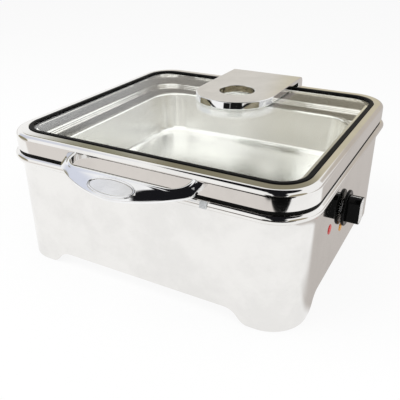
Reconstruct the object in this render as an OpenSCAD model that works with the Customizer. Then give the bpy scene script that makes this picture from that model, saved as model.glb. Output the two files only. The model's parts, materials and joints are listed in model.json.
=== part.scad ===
// Electric chafing dish with a damped glass lid.
// X runs left to right, Y front to back and Z up from the table, in millimetres.

/* [Lid frame] */
// Outside width of the lid frame, left to right
lid_w = 420; // [400:1:440]
// Outside depth of the lid frame, front to back
lid_d = 395; // [380:1:420]
// Corner radius of the lid frame in plan
lid_r = 51; // [46:1:60]
// Height of the lid frame
lid_h = 23.5; // [22:0.5:28]
// Radius of the lid frame's top edge
lid_edge_r = 7; // [4:0.5:9]
// Sheet thickness of the lid frame
lid_t = 1.2; // [0.8:0.1:1.6]
// Width of the steel band beside the gasket, left and right
land_w = 13.5; // [11:0.5:15]
// Width of the steel band beside the gasket, front and back
land_d = 18.7; // [16:0.1:20]
// Width of the flange that carries the glass
seat_w = 11; // [8:0.5:14]
// Width of the seal strip inside the lid's lower edge
seal_w = 4; // [3:0.5:5]
// How far the seal strip reaches up inside the lid
seal_up = 4; // [2:0.5:5]

/* [Glass] */
// Thickness of the glass
glass_t = 4; // [3:0.5:5]
// How far the glass lies below the steel band
glass_drop = 1.2; // [0.8:0.1:2]
// Width of the gasket seen from above
gasket_w = 6; // [5:0.5:8]
// Thickness of the gasket outside the glass edge
gasket_leg = 3; // [2:0.5:4]
// How far the gasket stands above the steel band
gasket_proud = 1.2; // [0.4:0.1:1.6]

/* [Rim and pans] */
// Height of the rolled rim above the table
rim_h = 158; // [150:1:170]
// Radius of the rolled rim
roll_r = 5.5; // [4.5:0.5:6.5]
// How far the rolled rim stands out past the lid
roll_out = 4.2; // [3:0.1:5]
// Gap between the rolled rim and the lid's lower edge
lid_gap = 4; // [3:0.5:6]
// How far the ledge lies below the top of the rim
ledge_drop = 7; // [6:0.5:8]
// Sheet thickness of the water pan
well_t = 1; // [0.8:0.1:1.4]
// Depth of the water well below the ledge
well_depth = 107; // [95:1:108]
// Radius between the well's wall and floor
well_floor_r = 12; // [8:1:16]
// Distance from the lid's side wall in to the food pan's flange
pan_in_x = 33; // [30:0.5:40]
// Distance from the lid's front wall in to the food pan's flange
pan_in_y = 35; // [31.5:0.5:41.5]
// Height of the food pan
pan_h = 65; // [40:1:90]
// Sheet thickness of the food pan
pan_t = 0.8; // [0.6:0.1:1.2]
// Width of the food pan's flange
pan_flange = 9; // [8:0.5:12]
// Corner radius of the food pan's mouth
pan_r = 44; // [36:1:50]
// How far each wall of the food pan leans in
pan_taper = 6; // [3:0.5:8]
// Radius between the food pan's wall and floor
pan_floor_r = 10; // [6:0.5:14]
// How far the flange lies on the ledge
flange_rest = 5; // [4:0.5:6]

/* [Housing] */
// How far the housing wall is set in from the lid's wall
wall_in = 3.8; // [3:0.1:6]
// Sheet thickness of the housing
wall_t = 1.2; // [0.8:0.1:1.6]
// Height of the flare under the rim
flare_h = 13; // [10:0.5:16]
// How far the flare runs outwards
flare_out = 4; // [3:0.1:4.5]
// Height of the arches between the legs
arch_h = 18.9; // [14:0.1:19]
// Length of a leg's foot along the wall
foot_len = 52; // [48:1:70]
// Length of the curve from foot to arch
arch_sweep = 36; // [26:1:48]
// Gap between the skirt's lower edge and the table
skirt_lift = 1; // [0.5:0.1:2]

/* [Base] */
// Height of the bottom cover above the table
cover_z = 20; // [19.5:0.1:21]
// Thickness of the bottom cover
cover_t = 1.2; // [0.8:0.1:1.5]
// Side of a corner bracket
bracket_side = 62; // [56:1:70]
// Sheet thickness of a corner bracket
bracket_t = 1.5; // [1:0.1:2]
// Distance of a foot from the inner walls
foot_in = 26; // [24:1:30]
// Radius of a foot pad
foot_r = 14; // [10:1:16]
// Radius of the foot screws
foot_screw_r = 2; // [1.5:0.1:2.5]
// Length of a vent slot
slot_len = 56; // [40:1:66]
// Width of a vent slot
slot_w = 5; // [4:0.5:6]
// Number of vent slots in a row
slot_n = 6; // [3:1:8]
// Pitch of the vent slots
slot_pitch = 22; // [12:1:26]

/* [Heating] */
// Radius of the heating plate
heater_r = 105; // [90:1:120]
// Thickness of the heating plate
heater_t = 6; // [4:0.5:7]
// Radius of the heating tube
tube_r = 4; // [3:0.5:4.5]
// Radius of the heating tube's loop
loop_r = 72; // [60:1:80]
// Half the gap between the tube's ends
loop_gap = 16; // [12:1:22]
// Length of the tube's straight ends
tail_len = 40; // [30:1:45]
// Thickness of the insulation mat
mat_t = 3.5; // [2:0.5:4]
// Width of the clamp strip
strip_w = 18; // [14:1:24]
// Thickness of the clamp strip
strip_t = 1.5; // [1:0.1:2]
// Radius of the clamp studs
stud_r = 2.5; // [2:0.1:3]

/* [Controls] */
// Place of the knob along the right wall
knob_y = -13; // [-25:1:5]
// Height of the knob
control_z = 90; // [88:1:96]
// Height of the red lamp
red_z = 90; // [84:1:100]
// Radius of the knob's skirt
skirt_r = 24.5; // [22:0.5:25]
// Thickness of the knob's skirt
skirt_t = 4; // [3:0.5:5]
// Radius of the knob's grip
grip_r = 18.5; // [16:0.5:20]
// How far the knob reaches from the wall
knob_reach = 23; // [20:0.5:28]
// Gap between the knob and the wall
knob_gap = 2; // [1:0.1:3]
// Distance from the knob's axis to each flat of its grip
grip_flat = 12; // [10:0.5:15]
// Width of the black edge round the knob's bright cap
cap_edge = 1.2; // [0.8:0.1:2]
// Thickness of the knob's bright cap
cap_t = 1.4; // [1:0.1:2]
// Radius of the thermostat's shaft
dial_shaft_r = 3; // [2.5:0.1:3.5]
// Place of the red lamp along the wall
red_y = -79; // [-92:1:-66]
// Place of the amber lamp along the wall
amber_y = -19; // [-32:1:-12]
// Height of the amber lamp
amber_z = 63.5; // [56:0.5:64]
// Radius of a lamp's barrel
lamp_r = 5.2; // [4:0.1:6]
// Length of a lamp's barrel behind the wall
lamp_len = 22; // [16:1:26]
// Depth of the thermostat's box
stat_depth = 26; // [20:1:28]
// Width of the thermostat's box along the wall
stat_w = 44; // [36:1:50]
// Height of the thermostat's box
stat_h = 34; // [28:1:34]
// Place of the cable gland along the rear wall
gland_x = 120; // [100:1:130]
// Height of the cable gland
gland_z = 60; // [50:1:70]
// Radius of the cable gland's thread
gland_r = 8; // [7:0.5:10]
// Radius of the cable gland's bore
gland_bore_r = 4.2; // [3:0.1:5]

/* [Hinge] */
// Width of the hinge tongue
tongue_w = 124; // [112:1:132]
// Height of the tongue above the steel band
tongue_rise = 10; // [8:0.5:12]
// Distance from the lid's rear wall forward to the centre of the nose
tongue_len = 113.5; // [105:0.5:124]
// Radius of the hole in the tongue
tongue_hole_r = 27; // [22:0.5:30]
// Distance of the hole's centre behind the nose's centre
tongue_hole_back = 4; // [0:1:8]
// Distance from the lid's rear wall forward to the step over the frame
bridge_len = 34; // [30:1:40]
// Clear height of the step over the frame
bridge_gap = 2.2; // [1.8:0.1:4]
// Distance of the hinge axis behind the lid's rear wall
axis_back = 10; // [10:0.1:12]
// Height of the hinge axis above the lid's lower edge
axis_up = 10; // [8:0.5:12]
// Radius of the knuckle round the axis
knuckle_r = 9.5; // [9:0.1:9.5]
// Radius of the tongue's rear top edge
tongue_back_r = 9; // [8:0.5:16]
// Radius of the hinge shaft
hinge_shaft_r = 5; // [4:0.1:5.5]
// Outer radius of the hinge bushes
bush_r = 7; // [6.5:0.1:7.5]
// Length of a hinge bush
bush_len = 16; // [10:1:20]
// Thickness of a bracket cheek
cheek_t = 6; // [4:0.5:8]
// Height of the bracket's plate
hinge_plate_h = 46; // [36:1:52]
// Thickness of the bracket's plate
hinge_plate_t = 3; // [2:0.5:4]
// Thickness of the plate that clamps the glass
clamp_t = 2; // [1.5:0.1:2.5]
// Thickness of the pad between tongue and glass
pad_t = 0.5; // [0.3:0.1:1]

/* [Handle] */
// How far the handle reaches in front of the lid
handle_reach = 51.5; // [46:0.5:58]
// How far each arm flares outwards from the bow to the lid
root_flare = 3; // [1:0.5:10]
// Half width of the handle over its arms at the lid
root_half = 94; // [90:1:100]
// Width of a handle arm at the lid
arm_w = 14; // [12:0.5:16]
// Clear depth behind the bow
grip_gap = 23.5; // [20:0.5:26]
// How far the bow's front edge curves back at the arms
bow_sag = 32; // [26:0.5:36]
// Inner corner radius between bow and arms
bow_inner_r = 18; // [10:1:20]
// Height of the arm's top at the lid above the lid's lower edge
arm_top = 17.5; // [15:0.5:18]
// Height of the arm at the lid
arm_h = 9.5; // [8.5:0.5:12]
// How far an arm's top falls from the lid to the bow
arm_fall = 4; // [2:0.5:6]
// How far the bow's crowned top falls to its front edge
bow_fall = 15.5; // [12:0.5:18]
// How far an arm's underside falls from the lid to the bow
arm_low_fall = 4; // [2:0.5:5]
// Thickness of the bow's front edge
lip_h = 3.5; // [3:0.5:5]
// Radius of the bow's crowned top
crown_r = 62; // [50:1:80]
// Radius of the rounding along the bow's front edge
edge_round_r = 24.5; // [24:0.1:28]
// Distance of that rounding's centre behind the bow's front edge
edge_round_in = 23; // [20:0.5:23.5]
// Height of the arm's top above the bow's front edge at the arms
edge_round_fall = 11; // [9:0.5:12]
// Length of the oval badge
badge_len = 62; // [52:1:72]
// Width of the oval badge
badge_w = 21; // [16:0.5:22]
// Thickness of the oval badge
badge_t = 2.5; // [2:0.1:3]
// Radius of the handle screws
handle_screw_r = 2; // [1.6:0.1:2.2]

/* [Fits] */
// Gap between pieces that are seated on each other
fit_gap = 0.1; // [0.05:0.01:0.15]
// Gap between pieces that move apart
run_gap = 0.3; // [0.25:0.01:0.4]
// Radial clearance of a turning shaft
shaft_gap = 0.05; // [0.02:0.01:0.08]

/* [Hidden] */
$fn = 48;

// Heights
lid_z = rim_h + lid_gap;
lid_top = lid_z + lid_h;
glass_top = lid_top - glass_drop;
seat_z = glass_top - glass_t - fit_gap;
ledge_z = rim_h - ledge_drop;
roll_z = rim_h - roll_r;
roll_in = roll_r - roll_out;
flare_z = rim_h - 2 * roll_r - flare_h - fit_gap;
flare_r = (flare_h * flare_h + flare_out * flare_out) / (2 * flare_out);
well_floor_z = ledge_z - well_depth;
heater_z = well_floor_z - well_t - heater_t;
tube_z = heater_z - tube_r - fit_gap;
strip_z = tube_z - tube_r - fit_gap - strip_t;
clamp_nut_t = 2.2;
cover_top = cover_z + cover_t;
bracket_z = cover_z - bracket_t;
pan_rim_z = ledge_z + run_gap + pan_t;
pan_floor_z = pan_rim_z - pan_h;

// Outlines in plan
open_w = lid_w - 2 * land_w;
open_d = lid_d - 2 * land_d;
open_r = lid_r - land_w;
glass_in = 2 * fit_gap + gasket_leg;
wall_x = lid_w / 2 - wall_in;
wall_y = lid_d / 2 - wall_in;
wall_r = lid_r - wall_in;
inner_x = wall_x - wall_t;
inner_y = wall_y - wall_t;
inner_r = wall_r - wall_t;
base_w = 2 * (inner_x - fit_gap);
base_d = 2 * (inner_y - fit_gap);
base_r = inner_r - fit_gap;
pan_w = lid_w - 2 * pan_in_x;
pan_d = lid_d - 2 * pan_in_y;
mouth_w = pan_w - 2 * pan_flange;
mouth_d = pan_d - 2 * pan_flange;
well_w = pan_w - 2 * flange_rest;
well_d = pan_d - 2 * flange_rest;
well_r = pan_r + pan_flange - flange_rest;
ledge_strip = 20;

// Hinge
axis_y = lid_d / 2 + axis_back;
nose_y = lid_d / 2 - tongue_len;
axis_z = lid_z + axis_up;
tongue_z = glass_top + pad_t;
tongue_top = lid_top + tongue_rise;
tongue_back = axis_y + knuckle_r;
bridge_y = lid_d / 2 - bridge_len;
bridge_z = lid_top + gasket_proud + bridge_gap;
hole_y = nose_y + tongue_hole_back;
clamp_pitch_r = (tongue_hole_r + tongue_w / 2) / 2;
clamp_z = glass_top - glass_t - clamp_t;
clamp_screw_r = 2.5;
clamp_head_r = 4.5;
clamp_head_t = 2.5;
clamp_bite = 6;
cheek_x = tongue_w / 2 + run_gap + 2.5;
cheek_r = knuckle_r - 0.5;
cheek_front = lid_d / 2 + roll_out + 1;
hinge_plate_side = 4;
hinge_plate_w = 2 * (cheek_x + cheek_t + hinge_plate_side);
hinge_plate_z = flare_z - hinge_plate_h - 4;
hinge_screw_r = 2.5;
clip_t = 1.2;
clip_r = 8;

// Handle
lid_front = -lid_d / 2;
bow_front = lid_front - handle_reach;
bow_back = lid_front - grip_gap;
handle_half = root_half - root_flare;
bow_r = (handle_half * handle_half + bow_sag * bow_sag) / (2 * bow_sag);
arm_x = root_half - arm_w / 2;
arm_top_z = lid_z + arm_top;
arm_low_z = arm_top_z - arm_h;
bow_top_z = arm_top_z - arm_fall;
bow_edge_z = bow_top_z - bow_fall;
bow_low_z = arm_low_z - arm_low_fall;
edge_round_z = arm_top_z - edge_round_fall
    - sqrt(edge_round_r * edge_round_r - edge_round_in * edge_round_in);
crown_run = bow_back - bow_front;
crown_fall = bow_top_z - bow_edge_z;
crown_chord = sqrt(crown_run * crown_run + crown_fall * crown_fall);
crown_apothem = sqrt(crown_r * crown_r - crown_chord * crown_chord / 4);
crown_y = (bow_back + bow_front) / 2 + crown_apothem * crown_fall / crown_chord;
crown_z = (bow_top_z + bow_edge_z) / 2 - crown_apothem * crown_run / crown_chord;
badge_tilt = 31;
badge_sunk = 1.7;
handle_screw_z = arm_low_z + arm_h / 2 - 1;
handle_screw_len = 14;
screw_head_r = 4.5;
screw_head_t = 2.5;

// The whole is moved so that the origin lies under the middle of its box
x_min = -lid_w / 2 - roll_out;
x_max = wall_x + knob_reach;
y_min = bow_front;
y_max = tongue_back;

// Colours
steel = "silver";
satin = "lightgray";
chrome = "gainsboro";
black = [0.05, 0.05, 0.05];
zinc = "darkgray";

module placed() {
    translate([-(x_min + x_max) / 2, -(y_min + y_max) / 2, 0]) children();
}

// A flat plate with round corners, standing on z = 0
module rounded_plate(w, d, r, t) {
    translate([-w / 2 + r, -d / 2, 0]) cube([w - 2 * r, d, t]);
    for (side = [0, 1]) {
        mirror([side, 0, 0]) translate([w / 2 - r, -d / 2 + r, 0]) cube([r, d - 2 * r, t]);
    }
    for (k = [0 : 3]) {
        half_w = k % 2 == 0 ? w / 2 : d / 2;
        half_d = k % 2 == 0 ? d / 2 : w / 2;
        rotate(90 * k) translate([half_w - r, half_d - r, 0]) rotate_extrude(angle = 90) square([r, t]);
    }
}

// A profile carried round a rounded rectangle: x is the distance outside it, y is the height
module around(w, d, r) {
    for (k = [0 : 3]) {
        half_w = k % 2 == 0 ? w / 2 : d / 2;
        run = (k % 2 == 0 ? d : w) - 2 * r;
        rotate(90 * k) {
            translate([half_w, run / 2, 0]) rotate([90, 0, 0]) linear_extrude(run) children();
            translate([half_w - r, run / 2, 0]) rotate_extrude(angle = 90) translate([r, 0]) children();
        }
    }
}

// A quarter of a ring, in the quadrant of +x and +y
module quarter_band(r, t) {
    difference() {
        intersection() {
            circle(r);
            square(r);
        }
        circle(r - t);
    }
}

// A profile of Y and Z drawn out along X, centred
module along_x(len) {
    translate([-len / 2, 0, 0]) rotate([90, 0, 90]) linear_extrude(len) children();
}

// A turned piece on the right wall: the profile's y is the distance out from the wall
module on_right_wall(y, z) {
    translate([wall_x, y, z]) rotate([0, 90, 0]) children();
}

// A pan-head screw whose head lies under z = 0 and whose shank points up
module screw(r, len, head_r, head_t) {
    cylinder(h = len, r = r);
    translate([0, 0, -head_t]) cylinder(h = head_t, r = head_r);
}

// Outer shell

module housing_profile() {
    translate([-wall_in - wall_t, skirt_lift]) square([wall_t, flare_z - skirt_lift]);
    intersection() {
        translate([flare_r - wall_in, flare_z]) difference() {
            circle(flare_r + wall_t);
            circle(flare_r);
        }
        translate([-wall_in - wall_t, flare_z]) square([flare_out + wall_t + 1, flare_h]);
    }
}

// The opening under an arch, as wide as twice `half` on the table
module arch_opening(half) {
    curve_r = (arch_sweep * arch_sweep + arch_h * arch_h) / (4 * arch_h);
    flat = half - arch_sweep;
    middle = half - arch_sweep / 2;
    translate([-flat, -1]) square([2 * flat, arch_h + 1]);
    for (side = [0, 1]) {
        mirror([side, 0]) {
            translate([flat, -1]) square([arch_sweep / 2, arch_h / 2 + 1]);
            intersection() {
                translate([flat, arch_h - curve_r]) circle(curve_r);
                translate([flat, arch_h / 2]) square([arch_sweep / 2, arch_h / 2]);
            }
            difference() {
                translate([middle, -1]) square([arch_sweep / 2, arch_h / 2 + 1]);
                translate([half, curve_r]) circle(curve_r);
            }
        }
    }
}

module wall_hole(y, z, r) {
    translate([inner_x - 1, y, z]) rotate([0, 90, 0]) cylinder(h = wall_t + 2, r = r);
}

module rear_hole(x, z, r) {
    translate([x, wall_y + 1, z]) rotate([90, 0, 0]) cylinder(h = wall_t + 2, r = r);
}

module hinge_screw_places() {
    for (x = [-1, 1], z = [0, 1]) {
        height = hinge_plate_z + hinge_plate_h * (0.22 + 0.56 * z);
        translate([x * hinge_plate_w / 4, wall_y, height]) children();
    }
}

module housing() {
    color(steel) placed() difference() {
        around(lid_w, lid_d, lid_r) housing_profile();
        rotate([90, 0, 0]) linear_extrude(lid_d, center = true) arch_opening(wall_x - foot_len);
        along_x(lid_w) arch_opening(wall_y - foot_len);
        wall_hole(knob_y, control_z, bush_stem_r + fit_gap);
        wall_hole(red_y, red_z, lamp_r + fit_gap);
        wall_hole(amber_y, amber_z, lamp_r + fit_gap);
        rear_hole(gland_x, gland_z, gland_r + fit_gap);
        hinge_screw_places() rotate([90, 0, 0]) translate([0, 0, -1]) {
            cylinder(h = wall_t + 2, r = hinge_screw_r + fit_gap);
        }
    }
}

// Pans

module roll_profile() {
    difference() {
        translate([-roll_in, roll_z]) circle(roll_r);
        translate([-roll_in, roll_z]) circle(roll_r - well_t);
    }
    middle = roll_z - ledge_z + well_t / 2;
    reach = roll_in + sqrt(pow(roll_r - well_t / 2, 2) - middle * middle);
    translate([-ledge_strip, ledge_z - well_t]) square([ledge_strip - reach, well_t]);
}

module well_profile() {
    translate([0, well_floor_z + well_floor_r]) square([well_t, well_depth - well_floor_r - well_t]);
    translate([-well_floor_r, well_floor_z + well_floor_r]) mirror([0, 1]) {
        quarter_band(well_floor_r + well_t, well_t);
    }
}

module water_pan() {
    floor_in = well_floor_r;
    color(steel) placed() {
        around(lid_w, lid_d, lid_r) roll_profile();
        translate([0, 0, ledge_z - well_t]) difference() {
            rounded_plate(lid_w - 2 * ledge_strip, lid_d - 2 * ledge_strip, lid_r - ledge_strip, well_t);
            translate([0, 0, -1]) rounded_plate(well_w, well_d, well_r, well_t + 2);
        }
        around(well_w, well_d, well_r) well_profile();
        translate([0, 0, well_floor_z - well_t]) {
            rounded_plate(well_w - 2 * floor_in, well_d - 2 * floor_in, well_r - floor_in, well_t);
        }
    }
}

module pan_profile() {
    lean = pan_taper / (pan_h - pan_floor_r);
    low = pan_floor_z + pan_floor_r;
    translate([0, pan_rim_z - pan_t]) square([pan_flange, pan_t]);
    polygon([[0, pan_rim_z], [pan_t, pan_rim_z - pan_t], [pan_t - pan_taper, low], [-pan_taper, low]]);
    translate([-pan_taper - pan_floor_r, low]) mirror([0, 1]) quarter_band(pan_floor_r + pan_t, pan_t);
}

module food_pan() {
    floor_in = pan_taper + pan_floor_r;
    color(satin) placed() {
        around(mouth_w, mouth_d, pan_r) pan_profile();
        translate([0, 0, pan_floor_z - pan_t]) {
            rounded_plate(mouth_w - 2 * floor_in, mouth_d - 2 * floor_in, pan_r - floor_in, pan_t);
        }
    }
}

// Base

module at_corners(x, y) {
    for (sx = [-1, 1], sy = [-1, 1]) {
        translate([sx * x, sy * y, 0]) children();
    }
}

module at_feet() {
    at_corners(inner_x - foot_in, inner_y - foot_in) children();
}

module corner_brackets() {
    color(zinc) placed() difference() {
        intersection() {
            translate([0, 0, bracket_z]) rounded_plate(base_w, base_d, base_r, bracket_t);
            at_corners(inner_x - bracket_side / 2, inner_y - bracket_side / 2) {
                translate([0, 0, cover_z]) cube([bracket_side, bracket_side, 2 * bracket_z], center = true);
            }
        }
        at_feet() cylinder(h = cover_z + 1, r = foot_screw_r + fit_gap);
    }
}

module foot_pads() {
    bevel = 1.5;
    top = bracket_z - fit_gap;
    color(black) placed() at_feet() {
        difference() {
            rotate_extrude() polygon([
                [0, 0], [foot_r - bevel, 0], [foot_r, bevel], [foot_r - bevel, top], [0, top]
            ]);
            translate([0, 0, bracket_z / 2]) cylinder(h = bracket_z, r = foot_screw_r + fit_gap);
        }
    }
}

module foot_screws() {
    head_t = 2;
    len = cover_top + fit_gap - bracket_z / 2 - 1;
    color(zinc) placed() at_feet() {
        translate([0, 0, cover_top + fit_gap]) mirror([0, 0, 1]) {
            screw(foot_screw_r, len, 2 * foot_screw_r, head_t);
        }
    }
}

module bottom_cover() {
    row_x = (heater_r + 10 + inner_x) / 2;
    color(steel) placed() difference() {
        translate([0, 0, cover_z]) rounded_plate(base_w, base_d, base_r, cover_t);
        at_feet() cylinder(h = cover_top + 1, r = foot_screw_r + fit_gap);
        for (side = [-1, 1], k = [0 : slot_n - 1]) {
            slot_y = (k - (slot_n - 1) / 2) * slot_pitch - slot_w / 2;
            translate([side * row_x - slot_len / 2, slot_y, cover_z - 1]) {
                cube([slot_len, slot_w, cover_t + 2]);
            }
        }
    }
}

module insulation_mat() {
    color("khaki") placed() translate([0, 0, cover_top]) cylinder(h = mat_t, r = heater_r + 10);
}

// Heating

module stud_places() {
    for (side = [-1, 1]) {
        translate([side * (loop_r - 3 * tube_r), 0, 0]) children();
    }
}

module heating_plate() {
    color("gray") placed() {
        translate([0, 0, heater_z]) cylinder(h = heater_t, r = heater_r);
        stud_places() translate([0, 0, strip_z - clamp_nut_t]) {
            cylinder(h = heater_z - strip_z + clamp_nut_t, r = stud_r);
        }
    }
}

module heating_element() {
    half_turn = asin(loop_gap / loop_r);
    color("dimgray") placed() translate([0, 0, tube_z]) {
        rotate(90 + half_turn) rotate_extrude(angle = 360 - 2 * half_turn) {
            translate([loop_r, 0]) circle(tube_r);
        }
        for (side = [-1, 1]) {
            translate([side * loop_gap, loop_r * cos(half_turn) - 1, 0]) {
                rotate([-90, 0, 0]) cylinder(h = tail_len, r = tube_r);
            }
        }
    }
}

module element_clamp() {
    half_len = loop_r + 3 * tube_r;
    color(zinc) placed() difference() {
        translate([-half_len, -strip_w / 2, strip_z]) cube([2 * half_len, strip_w, strip_t]);
        stud_places() translate([0, 0, strip_z - 1]) cylinder(h = strip_t + 2, r = stud_r + fit_gap);
    }
}

module clamp_nuts() {
    color(zinc) placed() stud_places() translate([0, 0, strip_z - clamp_nut_t]) difference() {
        cylinder(h = clamp_nut_t, r = 1.9 * stud_r, $fn = 6);
        translate([0, 0, -1]) cylinder(h = clamp_nut_t + 2, r = stud_r + fit_gap);
    }
}

module thermal_cutout() {
    color("sienna") placed() translate([0, -loop_r / 2, heater_z - fit_gap]) mirror([0, 0, 1]) {
        cylinder(h = 3, r = 9);
        translate([0, 0, 3]) cylinder(h = 4, r = 6.5);
    }
}

// Controls

bush_stem_r = dial_shaft_r + 2;
stem_out = 6;
nut_t = 3;
socket_r = 11;
socket_depth = 8;

module thermostat_body() {
    stat_front = inner_x - fit_gap;
    color("dimgray") placed() difference() {
        union() {
            translate([stat_front - stat_depth, knob_y - stat_w / 2, control_z - stat_h / 2]) {
                cube([stat_depth, stat_w, stat_h]);
            }
            translate([stat_front - 1, knob_y, control_z]) rotate([0, 90, 0]) {
                cylinder(h = wall_x + stem_out - stat_front + 1, r = bush_stem_r);
            }
        }
        translate([stat_front - stat_depth / 2, knob_y, control_z]) rotate([0, 90, 0]) {
            cylinder(h = stat_depth + stem_out, r = dial_shaft_r + shaft_gap);
        }
    }
}

module thermostat_nut() {
    color(zinc) placed() on_right_wall(knob_y, control_z) translate([0, 0, fit_gap]) difference() {
        cylinder(h = nut_t, r = 8.5, $fn = 6);
        translate([0, 0, -1]) cylinder(h = nut_t + 2, r = bush_stem_r + fit_gap);
    }
}

// The sensor lies against the heating plate and its thin tube runs out to the thermostat
module sensor_bulb() {
    bulb_r = 3;
    pipe_r = 1;
    bend_r = 12;
    bulb_z = heater_z - bulb_r - fit_gap;
    bulb_y = knob_y + stat_w / 4;
    riser_z = bulb_z + bend_r;
    riser_x = inner_x - stat_depth / 2;
    bulb_end = heater_r - 8;
    bulb_start = loop_r + 2 * tube_r;
    color("peru") placed() translate([0, bulb_y, 0]) {
        translate([bulb_start, 0, bulb_z]) rotate([0, 90, 0]) {
            cylinder(h = bulb_end - bulb_start, r = bulb_r);
        }
        translate([bulb_end - 1, 0, bulb_z]) rotate([0, 90, 0]) {
            cylinder(h = riser_x - bend_r - bulb_end + 1, r = pipe_r);
        }
        translate([riser_x - bend_r, 0, riser_z]) rotate([-90, 0, 0]) {
            rotate_extrude(angle = 90) translate([bend_r, 0]) circle(pipe_r);
        }
        translate([riser_x, 0, riser_z]) {
            cylinder(h = control_z - stat_h / 2 - fit_gap - riser_z, r = pipe_r);
        }
    }
}

module lens(y, z) {
    flange_t = 0.5;
    dome_h = 1.1;
    dome_r = 2.3 * lamp_r;
    placed() on_right_wall(y, z) translate([0, 0, fit_gap]) {
        cylinder(h = flange_t, r = lamp_r + 1.3);
        translate([0, 0, flange_t]) intersection() {
            translate([0, 0, dome_h - dome_r]) sphere(dome_r);
            cylinder(h = dome_h + 1, r = lamp_r);
        }
    }
}

module red_lens() {
    color("red") lens(red_y, red_z);
}

module amber_lens() {
    color("orange") lens(amber_y, amber_z);
}

module lamp_places() {
    on_right_wall(red_y, red_z) children();
    on_right_wall(amber_y, amber_z) children();
}

module lamp_bodies() {
    color("white") placed() lamp_places() translate([0, 0, -wall_t - lamp_len]) {
        cylinder(h = wall_t + lamp_len, r = lamp_r);
    }
}

module lamp_nuts() {
    color(black) placed() lamp_places() translate([0, 0, -wall_t - fit_gap - nut_t]) difference() {
        cylinder(h = nut_t, r = lamp_r + 3);
        translate([0, 0, -1]) cylinder(h = nut_t + 2, r = lamp_r + fit_gap);
    }
}

module terminal_block() {
    wire_r = 2;
    block_w = 46;
    block_d = 18;
    block_h = 16;
    block_y = inner_y - block_d - 6;
    color("ivory") placed() translate([gland_x - block_w / 2, block_y, cover_top]) difference() {
        cube([block_w, block_d, block_h]);
        for (k = [1 : 3]) {
            translate([block_w * k / 4, -1, block_h / 2]) rotate([-90, 0, 0]) {
                cylinder(h = block_d + 2, r = wire_r);
            }
        }
    }
}

module gland_axis() {
    translate([gland_x, wall_y, gland_z]) rotate([-90, 0, 0]) children();
}

module cable_gland() {
    hex_t = 6;
    neck = 6;
    reach = 2 * hex_t + neck;
    inside = 10;
    color(black) placed() gland_axis() difference() {
        union() {
            translate([0, 0, fit_gap]) cylinder(h = hex_t, r = gland_r + 4, $fn = 6);
            translate([0, 0, hex_t]) rotate_extrude() polygon([
                [0, 0], [gland_r + 2, 0], [gland_r + 2, neck],
                [gland_r - 1.5, reach - hex_t], [0, reach - hex_t]
            ]);
            translate([0, 0, -inside]) cylinder(h = inside + hex_t / 2, r = gland_r);
        }
        translate([0, 0, -inside - 1]) cylinder(h = inside + reach + 2, r = gland_bore_r);
    }
}

module gland_nut() {
    color(black) placed() gland_axis() translate([0, 0, -wall_t - fit_gap - 4]) difference() {
        cylinder(h = 4, r = gland_r + 4, $fn = 6);
        translate([0, 0, -1]) cylinder(h = 6, r = gland_r + fit_gap);
    }
}

// The grip's outline seen along the knob's axis: a disc with two flats
module grip_outline(inset) {
    flat = grip_flat - inset;
    intersection() {
        circle(grip_r - inset);
        translate([-grip_r, -flat]) square([2 * grip_r, 2 * flat]);
    }
}

module knob() {
    edge = 1.2;
    grip_z = knob_gap + skirt_t;
    color(black) placed() on_right_wall(knob_y, control_z) difference() {
        union() {
            rotate_extrude() polygon([
                [0, knob_gap], [skirt_r - edge, knob_gap], [skirt_r, knob_gap + edge],
                [skirt_r, grip_z - edge], [skirt_r - edge, grip_z], [0, grip_z]
            ]);
            translate([0, 0, grip_z - 1]) linear_extrude(knob_reach - grip_z + 1) grip_outline(0);
        }
        translate([0, 0, knob_reach - cap_t]) linear_extrude(cap_t + 1) grip_outline(cap_edge);
        cylinder(h = knob_gap + socket_depth, r = socket_r);
        cylinder(h = knob_reach - cap_t - 2, r = dial_shaft_r + fit_gap / 4);
        pointer_slot(fit_gap);
    }
}

module pointer_slot(gap) {
    width = 1.6 + 2 * gap;
    depth = 1.5 + gap;
    start = knob_gap + skirt_t + 1 - gap;
    end = knob_reach - 2 + gap;
    translate([-grip_r - 1, -width / 2, start]) cube([depth + 1, width, end - start]);
}

module knob_cap() {
    color(satin) placed() on_right_wall(knob_y, control_z) translate([0, 0, knob_reach - cap_t]) {
        linear_extrude(cap_t) grip_outline(cap_edge + fit_gap);
    }
}

module knob_pointer() {
    color("white") placed() on_right_wall(knob_y, control_z) intersection() {
        pointer_slot(0);
        cylinder(h = knob_reach, r = grip_r);
    }
}

module thermostat_shaft() {
    start = -wall_t - stat_depth / 2 + 1;
    color(zinc) placed() on_right_wall(knob_y, control_z) translate([0, 0, start]) {
        cylinder(h = knob_reach - cap_t - 2 - fit_gap - start, r = dial_shaft_r);
    }
}

// Hinge

module on_axis() {
    translate([0, axis_y, axis_z]) rotate([0, 90, 0]) children();
}

module cheek_outline() {
    plate_back = wall_y + fit_gap;
    stem_back = axis_y + cheek_r;
    low = hinge_plate_z;
    bend = flare_z;
    polygon([
        [plate_back, low], [plate_back + hinge_plate_t, low], [stem_back, bend], [stem_back, axis_z],
        [axis_y - cheek_r, axis_z], [cheek_front, axis_z - cheek_r], [cheek_front, bend],
        [plate_back, bend - 4]
    ]);
    intersection() {
        translate([axis_y, axis_z]) circle(cheek_r);
        translate([axis_y - cheek_r, axis_z]) square([2 * cheek_r, cheek_r]);
    }
}

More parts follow.
